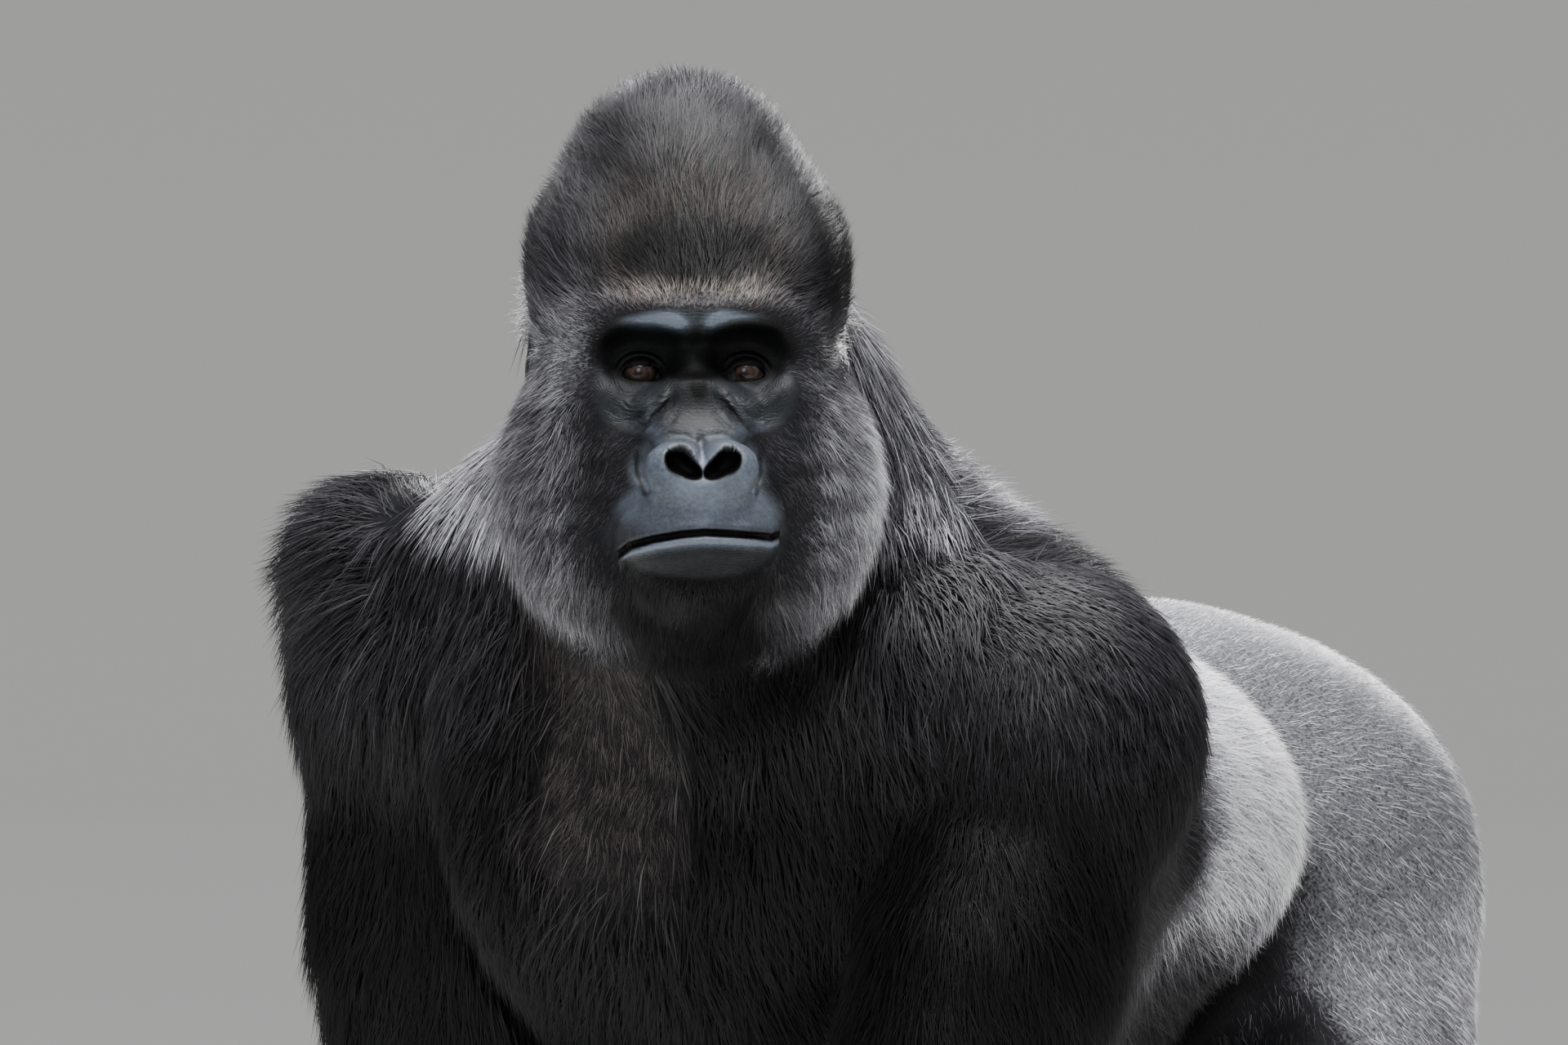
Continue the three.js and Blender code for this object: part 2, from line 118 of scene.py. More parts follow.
def off_path(points: Array, path: Sequence[tuple[float, float]]) -> tuple[Array, Array]:
    """Distance in the XZ plane to a path of straight lengths.

    Args:
        points: Places, one row each.
        path: The path's corners as (x, z).

    Returns:
        For each row, the distance to the path and how far along the path it lies, from 0 to 1.
    """
    flat = points[:, [0, 2]]
    best = np.full(len(flat), FAR)
    along = np.zeros(len(flat))
    corners = np.array(path, float)
    lengths = np.linalg.norm(np.diff(corners, axis=0), axis=1)
    starts = np.concatenate([[0.0], np.cumsum(lengths)]) / lengths.sum()
    for i, (a, b) in enumerate(zip(corners[:-1], corners[1:])):
        t = np.clip(((flat - a) @ (b - a)) / ((b - a) @ (b - a)), 0, 1)
        off = np.linalg.norm(flat - a - t[:, None] * (b - a), axis=1)
        nearer = off < best
        best = np.where(nearer, off, best)
        along = np.where(nearer, starts[i] + t * (starts[i + 1] - starts[i]), along)
    return best, along


# ---------------------------------------------------------------- fields


@dataclass(frozen=True)
class Egg:
    """An ellipsoid, as a field that is negative inside and near the distance from its surface.

    turn holds its rotations about X, Y and Z in degrees.
    """

    centre: Triple
    radii: Triple
    turn: Triple = (0.0, 0.0, 0.0)

    def __call__(self, points: Array) -> Array:
        """The field at each row of points."""
        offset = points - np.array(self.centre)
        if any(self.turn):
            about = [Matrix.Rotation(math.radians(a), 3, axis) for a, axis in zip(self.turn, "XYZ")]
            offset = offset @ np.array(about[0] @ about[1] @ about[2])
        scaled = offset / np.array(self.radii)
        reach = np.linalg.norm(scaled, axis=1)
        slope = np.linalg.norm(scaled / np.array(self.radii), axis=1)
        return reach * (reach - 1) / np.maximum(slope, 1e-9)


@dataclass(frozen=True)
class Limb:
    """Straight lengths with round ends. Each joint is (x, y, z, radius)."""

    joints: tuple[tuple[float, float, float, float], ...]

    def __call__(self, points: Array) -> Array:
        """The field at each row of points."""
        least = np.full(len(points), FAR)
        for start, end in zip(self.joints[:-1], self.joints[1:]):
            origin, along = np.array(start[:3]), np.array(end[:3]) - np.array(start[:3])
            offset = points - origin
            t = np.clip(offset @ along / (along @ along), 0, 1)
            off = np.linalg.norm(offset - t[:, None] * along, axis=1)
            least = np.minimum(least, off - (start[3] + (end[3] - start[3]) * t))
        return least


@dataclass(frozen=True)
class Blend:
    """Fields joined with a fillet about as large as soft."""

    soft: float
    fields: tuple[Field, ...]

    def __call__(self, points: Array) -> Array:
        """The joined field at each row of points."""
        joined = self.fields[0](points)
        for other in self.fields[1:]:
            joined = fillet(joined, other(points), self.soft)
        return joined


@dataclass(frozen=True)
class Hollow:
    """A body hollowed by a tool, with the rim rounded by soft."""

    soft: float
    body: Field
    tool: Field

    def __call__(self, points: Array) -> Array:
        """The hollowed field at each row of points."""
        return -fillet(-self.body(points), self.tool(points), self.soft)


@dataclass(frozen=True)
class Paired:
    """The same shape on both sides of X = 0."""

    body: Field

    def __call__(self, points: Array) -> Array:
        """The field at each row of points."""
        return self.body(np.abs(points) * [1, 0, 0] + points * [0, 1, 1])


@dataclass(frozen=True)
class Inset:
    """A body whose surface is moved inwards by depth."""

    depth: float
    body: Field

    def __call__(self, points: Array) -> Array:
        """The field at each row of points."""
        return self.body(points) + self.depth


def turned(vectors: Array, degrees: float) -> Array:
    """Vectors as seen in a frame that is turned about Z by degrees."""
    c, s = math.cos(math.radians(degrees)), math.sin(math.radians(degrees))
    x, y, z = np.asarray(vectors, float).T
    return np.stack([c * x + s * y, c * y - s * x, z], axis=1)


@dataclass(frozen=True)
class Placed:
    """A body drawn in a frame of its own.

    place and turn, in degrees about Z, put the frame in the animal's. Points further than reach from the
    frame's middle get a rough value.
    """

    body: Field
    place: Triple
    turn: float
    reach: float
    middle: Triple = (0.0, 0.0, 0.0)

    def local(self, points: Array) -> Array:
        """Points of the animal, in this frame."""
        return turned(points - np.array(self.place), self.turn)

    def outer(self, points: Array) -> Array:
        """Points of this frame, in the animal's."""
        return self.direction(points) + np.array(self.place)

    def direction(self, vectors: Array) -> Array:
        """Directions of this frame, in the animal's."""
        return turned(vectors, -self.turn)

    def __call__(self, points: Array) -> Array:
        """The field at each row of the animal's points."""
        local = self.local(points)
        off = np.linalg.norm(local - np.array(self.middle), axis=1)
        near = off < self.reach
        value = np.maximum(off - self.reach, 0) + CLEAR
        if near.any():
            value[near] = self.body(local[near])
        return value


# ---------------------------------------------------------------- the animal's form


class Side(Enum):
    """The animal's two sides, with the sign of X."""

    LEFT = 1
    RIGHT = -1

    @property
    def word(self) -> str:
        """The side's name, as the nodes have it."""
        return self.name.lower()


@dataclass(frozen=True)
class Arm:
    """One arm's joints, the shift of the hair tuft on its shoulder, and the depth of its coat."""

    side: Side
    shoulder: Triple
    biceps: Triple
    elbow: Triple
    bulge: Triple
    wrist: Triple
    hand: Triple
    tuft: Triple
    coat: float = 20.0

    def form(self) -> Field:
        """The arm's flesh, from the shoulder to the wrist."""
        (bx, by, bz), mid = self.biceps, tuple(b + (w - b) * 0.55 for b, w in zip(self.bulge, self.wrist))
        crest = tuple(a + b for a, b in zip(self.shoulder, self.tuft))
        wide = 103 if self.side is Side.RIGHT else 110
        ball = Egg(self.shoulder, (wide - self.coat, 122 - self.coat, 122 - self.coat))
        deltoid = Blend(40, (ball, Egg(crest, (44, 72, 44))))
        upper = Limb(((*self.shoulder, 80), (*self.biceps, 83), (*self.elbow, 68)))
        triceps = Egg((bx, by + 34, bz + 20), (64, 72, 132), (-14, 0, 0))
        lower = Limb(((*self.elbow, 60), (*self.bulge, 64), (*mid, 50), (*self.wrist, 41)))
        return Blend(30, (deltoid, upper, triceps, lower))


@dataclass(frozen=True)
class Leg:
    """One hind leg. step moves its knee and foot back along Y."""

    side: Side
    step: float

    def joint(self, x: float, y: float, z: float, share: float = 1.0) -> Triple:
        """A point of the leg, with its share of the step."""
        return (self.side.value * x, y + self.step * share, z)

    def form(self) -> Field:
        """The leg's flesh, from the hip to the ankle."""
        hip, knee = self.joint(132, 690, 604, 0.15), self.joint(222, 504, 352)
        calf, ankle = self.joint(212, 590, 226), self.joint(196, 652, 100)
        thick = tuple((h + k) / 2 for h, k in zip(hip, knee))
        buttock = Egg((self.side.value * 118, 728, 636), (108, 124, 142))
        thigh = Limb(((*hip, 126), (*thick, 110), (*knee, 66)))
        shank = Limb(((*knee, 60), (*calf, 56), (*ankle, 40)))
        return Blend(34, (buttock, thigh, shank))


def hand_form(side: Side) -> Field:
    """A hand on its knuckles, in a frame on the floor, facing -Y."""
    s, spread = side.value, 29.0
    fingers = []
    for slot in (-1.5, -0.5, 0.5, 1.5):
        x, long = slot * spread, 1 - abs(slot) * 0.06
        folded = ((x, -42 * long, 23, 15), (x * 0.98, -38 * long, 13, 15), (x * 0.95, 2, 12, 14))
        ray = Limb(((x * 0.86, -4, 82, 14.5), *folded, (x * 0.9, 15, 36, 11.5)))
        knuckle = Egg((x, -44 * long, 26), (15.5, 14, 17))
        root = Egg((x * 0.88, -8, 82), (15, 17, 16))
        fingers.append(Blend(6, (ray, knuckle, root)))
    palm = Egg((0, 10, 90), (54, 23, 42), (-14, 0, 0))
    heel = Egg((0, 22, 124), (42, 30, 36))
    thumb = Limb(((s * -42, 16, 104, 16), (s * -60, -4, 74, 13), (s * -63, -20, 50, 10)))
    return Blend(9, (Blend(16, (palm, heel)), Blend(3, tuple(fingers)), thumb))


def toe_tip(side: Side, slot: int) -> tuple[float, float]:
    """Where a toe ends, as (x, y) in the foot's frame. slot counts from 0 beside the big toe."""
    return side.value * (-24 + slot * 23), -122 + abs(slot - 0.8) * 9


def foot_form(side: Side) -> Field:
    """A flat foot in a frame on the floor, toes towards -Y."""
    s = side.value
    sole = Limb(((0, 92, 31, 34), (0, 0, 36, 34), (s * 4, -62, 23, 28)))
    outer = Limb(((s * 14, 80, 22, 26), (s * 30, -50, 18, 23)))
    instep = Egg((0, 40, 72), (40, 54, 42))
    toes = []
    for slot in range(4):
        x, reach = toe_tip(side, slot)
        bend = -60 + (reach + 60) * 0.6
        toe = Limb(((x * 0.8, -60, 26, 14), (x, bend, 22, 12), (x * 1.05, reach, 11, 11.5)))
        toes.append(Blend(4, (toe, Egg((x, bend, 22), (12.5, 13, 13)))))
    big = Limb(((s * -22, 6, 24, 23), (s * -52, -42, 21, 17), (s * -58, -82, 14, 15.5)))
    return Blend(11, (Blend(18, (sole, outer, instep, big)), Blend(3, tuple(toes))))


@dataclass(frozen=True)
class Head:
    """The head, in its own frame: the origin is between the pupils, and it faces -Y.

    Lengths are in millimetres. mouth is the line between the lips, as (x, z) from the right corner to the
    left.
    """

    eye_half_spacing: float = 35.0
    eye_radius: float = 12.0
    lid: float = 1.5
    nose_middle: float = 2.6
    mouth: tuple[tuple[float, float], ...] = (
        *((-53.0, -121.5), (-44.0, -114.0), (-29.0, -109.8), (-11.0, -106.8), (4.0, -105.6)),
        *((21.0, -106.4), (39.0, -107.6), (49.0, -108.8), (54.0, -107.0)),
    )

    def skull(self) -> Field:
        """The braincase with its crest of muscle, less the depth of the coat."""
        cranium = Egg((0, 92, 58), (100, 122, 100))
        crest = Egg((-3, 100, 116), (86, 100, 91))
        temples = Paired(Egg((62, 70, 48), (48, 84, 78)))
        occiput = Egg((0, 160, 60), (92, 78, 92))
        return Inset(9, Blend(38, (cranium, crest, temples, occiput)))

    def cheeks(self) -> Field:
        """The jaw's muscles and the throat under the beard."""
        masseters = Paired(Egg((80, 58, -62), (45, 64, 80), (0, -7, 0)))
        jowls = Paired(Egg((54, 38, -118), (46, 54, 48)))
        throat = Egg((0, 24, -140), (62, 50, 40))
        bones = Paired(Egg((58, 8, -16), (22, 24, 22)))
        return Blend(30, (masseters, jowls, throat, bones))

    def brow(self) -> Field:
        """The bar over the eyes."""
        arch = Limb(((0, -17, 35, 14), (30, -17, 42, 13), (54, -6, 38, 13), (68, 12, 22, 14)))
        return Blend(10, (Paired(arch), Egg((0, 20, 50), (68, 42, 24))))

    def muzzle(self) -> Field:
        """The midface and the lips, without the line between them."""
        midface = Blend(20, (Egg((0, 14, -36), (54, 44, 54)), Paired(Egg((46, 8, -62), (32, 38, 44)))))
        lip = Egg((2, -35, -101), (56.5, 56, 25), (6, 0, 0))
        upper = Blend(14, (lip, Egg((2, -42, -84), (37, 48, 24))))
        lower = Egg((1, -33, -116), (54, 54, 24))
        chin = Egg((0, -26, -135), (42, 46, 26))
        return Blend(8, (Blend(24, (midface, upper)), Blend(12, (lower, chin))))

    def bridge(self) -> Field:
        """The nose's flat bridge, which widens downwards."""
        m = self.nose_middle
        upper = Limb(((0, -10, 5, 10), (m / 2, -26, -14, 14)))
        plate = Egg((m / 2, -33, -33), (33, 14, 38), (-50, 0, 0))
        return Blend(16, (upper, plate))

    def nose(self) -> Field:
        """The two round wings, which droop outwards, and the smooth pad below them."""
        m = self.nose_middle
        wings = [Egg((m + s * 18, -72, -62), (21.5, 24, 17.0), (0, s * 22, s * 14)) for s in (-1, 1)]
        pad = Egg((m, -70, -76), (33, 25, 16))
        return Blend(12, (Blend(4, tuple(wings)), pad))

    def nostrils(self) -> Field:
        """Two slanting tear shapes, blunt at their outer upper ends."""
        m, pair = self.nose_middle, []
        for s in (-1, 1):
            slanted = Egg((m + s * 12.6, -94, -61.6), (13.2, 15, 6.2), (0, s * -34, 0))
            outer = Egg((m + s * 16.2, -94, -59.2), (7.4, 14, 7.2), (0, s * -24, 0))
            pair.append(Blend(3, (slanted, outer)))
        return Blend(0.5, tuple(pair))

    def openings(self, points: Array) -> Array:
        """The almond openings of the lids, down to just under the eyeballs' surface."""
        x, y, z = points.T
        side = np.abs(x)
        along = (side - self.eye_half_spacing + 0.6) / 13.4
        arch = np.sqrt(np.clip(1 - along**2, 0, 1))
        middle = -0.3 - 2.0 * ramp(along, -0.2, -1.0)
        almond = np.maximum(z - middle - 5.3 * arch, middle - 5.0 * arch - z)
        ball = np.sqrt((side - self.eye_half_spacing) ** 2 + y**2 + z**2) - self.eye_radius + 0.5
        return np.maximum.reduce([almond, (np.abs(along) - 1) * 13.4, -ball, y - 2])

    def below_mouth(self, points: Array) -> Array:
        """How far each place lies below the line between the lips, in mm."""
        path = np.array(self.mouth)
        return np.interp(points[:, 0], path[:, 0], path[:, 1]) - points[:, 2]

    def round_eye(self, points: Array) -> Array:
        """Distance from the nearer pupil, in mm, along ovals that follow the lids."""
        return np.hypot((np.abs(points[:, 0]) - self.eye_half_spacing) * 0.82, points[:, 2])

    def wrinkled(self, points: Array) -> Array:
        """How finely wrinkled each place is: below the eyes, on the lower lip, and on bridge and brow."""
        x, y, z = points.T
        side, ring, below = np.abs(x), self.round_eye(points), self.below_mouth(points)
        front = ramp(y, 20, -5)
        under = ramp(z, 0, -7) * ramp(ring, 12, 15) * ramp(ring, 40, 30)
        under = under * ramp(side, 9, 15) * ramp(side, 72, 60)
        lips = ramp(side, 56, 48) * ramp(y, -20, -40) * ramp(below, 5, 9) * ramp(below, 34, 26)
        bridge = ramp(side, 30, 16) * ramp(z, 4, -4) * ramp(z, -50, -42)
        brow = ramp(z, 24, 29) * ramp(z, 46, 40) * ramp(side, 70, 55)
        return np.stack([under * front, lips, np.maximum(0.35 * bridge, brow) * front], 1)

    def relief(self, points: Array) -> Array:
        """Height of the folds of the bare skin, outwards, in millimetres."""
        x, y, z = points.T
        side, ring, below = np.abs(x), self.round_eye(points), self.below_mouth(points)
        flat = np.stack([side, y, z], 1)
        warp = ripple(points, 16, 3) * 0.9
        height = 2.2 * bell(ring - 21, 7) * ramp(z, -2, -12) * ramp(side, 14, 24)
        under = ramp(z, -3, -9) * ramp(ring, 14, 18) * ramp(ring, 40, 30) * ramp(side, 14, 22)
        crescent = np.sin((ring + 2.6 * ripple(points, 22, 9)) * (2 * math.pi / 4.3))
        height += 0.34 * under * crescent * (0.55 + 0.45 * ripple(points, 13, 12))
        # Folds from the inner corners of the eyes down to the cheeks.
        folds = (
            (((11, -13), (19, -21), (30, -34), (41, -41)), 3.0, 2.4),
            (((22, -14), (34, -27), (48, -33)), 1.2, 1.8),
            (((10, -25), (17, -33), (29, -43)), 0.8, 1.8),
        )
        for path, deep, wide in folds:
            off, along = off_path(flat, path)
            ends = ramp(along, -0.05, 0.35), ramp(along, 1.05, 0.6)
            height -= deep * bell(off + warp * 0.5, wide) * ends[0] * ends[1]
        # Creases of the upper lids.
        over = ramp(z, 0, 5) * ramp(side, 14, 20) * ramp(side, 58, 50)
        height -= over * (1.0 * bell(ring - 11.4, 1.1) + 0.8 * bell(ring - 15.6, 1.3))
        # The nose: a groove down from its notch, and creases where the wings meet the cheeks.
        m = self.nose_middle
        groove = bell(x - m, 2.4) * ramp(z, -36, -46) * ramp(z, -61, -55) * ramp(y, -40, -58)
        height -= 1.6 * groove
        top, _ = off_path(flat, ((1, -46), (8, -41.5), (18, -40.5), (29, -46)))
        height -= 0.5 * bell(top, 1.8)
        for s in (-1, 1):
            wing, _ = off_path(points, ((m + s * 39, -58), (m + s * 38, -68), (m + s * 33, -78)))
            height -= 2.2 * bell(wing, 2.6) * ramp(y, -20, -34)
        # A frown in the middle of the brow.
        frown = bell(x - 1, 11) * bell(z - 33, 10)
        height -= 1.3 * frown * (0.5 + 0.5 * np.sin(x * (2 * math.pi / 5.5) + warp))
        # The rims of the lips, with a hollow under the lower one, and the line between them.
        rims = 1.0 * bell(below - 4.4, 2.2) - 1.0 * bell(below - 9.8, 3.0) + 0.7 * bell(below + 5.2, 2.8)
        height += ramp(side, 57, 50) * ramp(y, -20, -40) * rims
        off, along = off_path(points, self.mouth)
        gape = 1.1 + 1.1 * np.sin(math.pi * np.clip(along, 0, 1)) ** 0.6
        height -= 3.2 * bell(off, gape * 1.1) * ramp(y, -10, -30)
        height -= 1.8 * bell(side - 58, 3.5) * bell(below - 2, 9) * ramp(y, 0, -20)
        return height * ramp(y, 20, -5)

    def ears(self) -> Field:
        """Both ears: a rounded leaf with a hollow, small and close to the head."""
        leaf = Egg((101, 86, 12), (9, 17, 23), (8, 0, 14))
        bowl = Egg((110, 80, 14), (9, 11, 16), (8, 0, 14))
        ridge = Egg((104, 86, 6), (5, 5, 10), (20, 0, 0))
        return Paired(Blend(4, (Hollow(4, leaf, bowl), ridge)))

    def form(self) -> Field:
        """The whole head, with lids round the eyeballs."""
        base = Blend(14, (Blend(24, (self.skull(), self.cheeks())), self.brow(), self.muzzle()))
        nosed = Blend(7, (Blend(20, (base, self.bridge())), self.nose()))
        sockets = Paired(Egg((36, -22, 12), (29, 22, 17), (0, 0, 12)))
        hollowed = Hollow(8, nosed, Blend(10, (sockets, Egg((0, -31, 11), (20, 11, 12)))))
        over = self.eye_radius + self.lid
        lidded = Blend(9, (hollowed, Paired(Egg((self.eye_half_spacing, 0.5, 0), (15.5, over, over)))))
        carved = Hollow(3, lidded, self.nostrils())
        eared = Blend(6, (carved, self.ears()))

        def whole(points: Array) -> Array:
            """The head with its relief and open eyes."""
            return -fillet(self.relief(points) - eared(points), self.openings(points), 0.9)

        return whole


def part_of(kind: str, side: Side) -> "Part":
    """The part of a kind, such as HAND, on one side."""
    return Part[kind + "_" + side.name]


class Part(IntEnum):
    """The parts of the body that a coat can lie on."""

    HEAD = 0
    NECK = 1
    TRUNK = 2
    ARM_LEFT = 3
    ARM_RIGHT = 4
    LEG_LEFT = 5
    LEG_RIGHT = 6
    HAND_LEFT = 7
    HAND_RIGHT = 8
    FOOT_LEFT = 9
    FOOT_RIGHT = 10


@dataclass
class Animal:
    """The whole body as one field, and its place in the frame."""

    head_place: Triple = (117.0, -350.0, 1020.0)
    head_turn: float = 28.0
    arms: tuple[Arm, ...] = (
        Arm(
            side=Side.LEFT,
            shoulder=(252, -52, 780),
            biceps=(230, -118, 630),
            elbow=(206, -172, 480),
            bulge=(202, -194, 405),
            wrist=(192, -222, 128),
            hand=(190, -232, 0),
            tuft=(-34, 10, 0),
        ),
        Arm(
            side=Side.RIGHT,
            shoulder=(-262, 12, 824),
            biceps=(-264, 24, 640),
            elbow=(-250, 34, 480),
            bulge=(-246, 26, 405),
            wrist=(-234, 4, 128),
            hand=(-232, -8, 0),
            tuft=(-30, -18, 72),
        ),
    )
    legs: tuple[Leg, ...] = (Leg(Side.LEFT, 45), Leg(Side.RIGHT, -40))
    head: Head = Head()

    def __post_init__(self) -> None:
        """Places each part, and finds the frame's origin from the eye nodes."""
        self.head_frame = Placed(self.head.form(), self.head_place, self.head_turn, 330, (0, 70, 0))
        self.parts: dict[Part, Field] = {Part.HEAD: self.head_frame}
        self.parts[Part.NECK], self.parts[Part.TRUNK] = self.neck(), self.trunk()
        self.hand_frames: dict[Side, Placed] = {}
        self.foot_frames: dict[Side, Placed] = {}
        for arm, leg in zip(self.arms, self.legs):
            side, s = arm.side, arm.side.value
            hand = Placed(hand_form(side), arm.hand, 8 * s, 190, (0, 0, 70))
            foot = Placed(foot_form(side), leg.joint(200, 600, 0), 10 * s, 230, (0, 0, 40))
            self.hand_frames[side], self.foot_frames[side] = hand, foot
            upper, rear = (*arm.biceps[:2], 520), (s * 150, 650, 400)
            self.parts[part_of("ARM", side)] = Placed(arm.form(), (0, 0, 0), 0, 620, upper)
            self.parts[part_of("LEG", side)] = Placed(leg.form(), (0, 0, 0), 0, 560, rear)
            self.parts[part_of("HAND", side)] = hand
            self.parts[part_of("FOOT", side)] = foot
        corners = [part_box("eye_" + side.word) for side in Side]
        middle = sum((Vector(low) + Vector(high) for low, high in corners), Vector()) / 4
        self.shift = np.array(middle) / MM - np.array(self.head_place)

    def trunk(self) -> Field:
        """Ribs, belly, back and rump, less the depth of the coat."""
        ribs = Egg((0, 120, 698), (248, 300, 232))
        shoulders = Egg((0, 0, 826), (246, 165, 120))
        trapezius = Paired(Limb(((34, -110, 925, 98), (118, -20, 880, 98), (200, 20, 838, 76))))
        raised = Limb(((-286, -8, 880, 48), (-190, -40, 904, 58), (-60, -70, 930, 90)))
        fore = Egg((182, -88, 818), (66, 76, 76))
        pecs = Paired(Egg((92, -92, 744), (106, 84, 136), (8, 0, 14)))
        spine = Limb(((0, 40, 862, 92), (0, 280, 812, 104), (0, 520, 768, 98), (0, 690, 752, 96)))
        flanks = Egg((0, 332, 700), (266, 214, 172))
        paunch = Egg((0, 330, 600), (156, 214, 176))
        waist = Limb(((0, 330, 650, 152), (0, 560, 650, 152)))
        rump = Egg((0, 678, 680), (258, 234, 184))
        front = (ribs, shoulders, Blend(30, (trapezius, raised)), pecs, fore)
        return Inset(6, Blend(44, (*front, spine, flanks, paunch, waist, rump)))

    def neck(self) -> Field:
        """The neck, from the nape and throat to the shoulders."""
        nape, throat = self.head_frame.outer(np.array([[2, 150, 22], [0, 110, -70]]))
        back = Limb(((*nape, 95), (26, -70, 935, 131), (0, 40, 880, 108)))
        front = Limb(((*throat, 84), (30, -90, 850, 118)))
        return Blend(40, (back, front))

    def skin(self, points: Array) -> Array:
        """The skin's field at each row of the animal's points: 0 on the skin, and flat on the floor."""
        limbs = [self.parts[part_of(kind, side)] for kind in ("ARM", "LEG") for side in Side]
        ends = [self.parts[part_of(kind, side)] for kind in ("HAND", "FOOT") for side in Side]
        torso = Blend(40, (self.parts[Part.TRUNK], self.parts[Part.NECK]))
        body = Blend(15, (Blend(46, (torso, *limbs)), *ends))
        x, y, z = points.T
        crease = 5.0 * bell(x - 26, 7) * ramp(y, -60, -120) * ramp(z, 560, 640)
        value = fillet(body(points) + crease, self.parts[Part.HEAD](points), 26.0)
        return np.maximum(value, -z)

    def slope(self, points: Array, step: float = 0.4) -> tuple[Array, Array]:
        """The skin's field and its gradient.

        Args:
            points: The animal's points, one row each.
            step: How far from each point the field is sampled, in millimetres.

        Returns:
            The field's value at each row, and its gradient.
        """
        corners = np.array([(1, -1, -1), (-1, -1, 1), (-1, 1, -1), (1, 1, 1)], float)
        values = [self.skin(points + corner * step) for corner in corners]
        gradient = sum(v[:, None] * corner for v, corner in zip(values, corners)) / (4 * step)
        return sum(values) / 4, gradient

    def to_frame(self, points: Array) -> Array:
        """The animal's millimetres in the frame's metres."""
        return (points + self.shift) * MM

    def nearest_part(self, points: Array) -> Array:
        """The number of the part whose own surface is nearest, for each row of points."""
        values = np.stack([self.parts[part](points) for part in Part], axis=1)
        return values.argmin(1)


# ---------------------------------------------------------------- markings


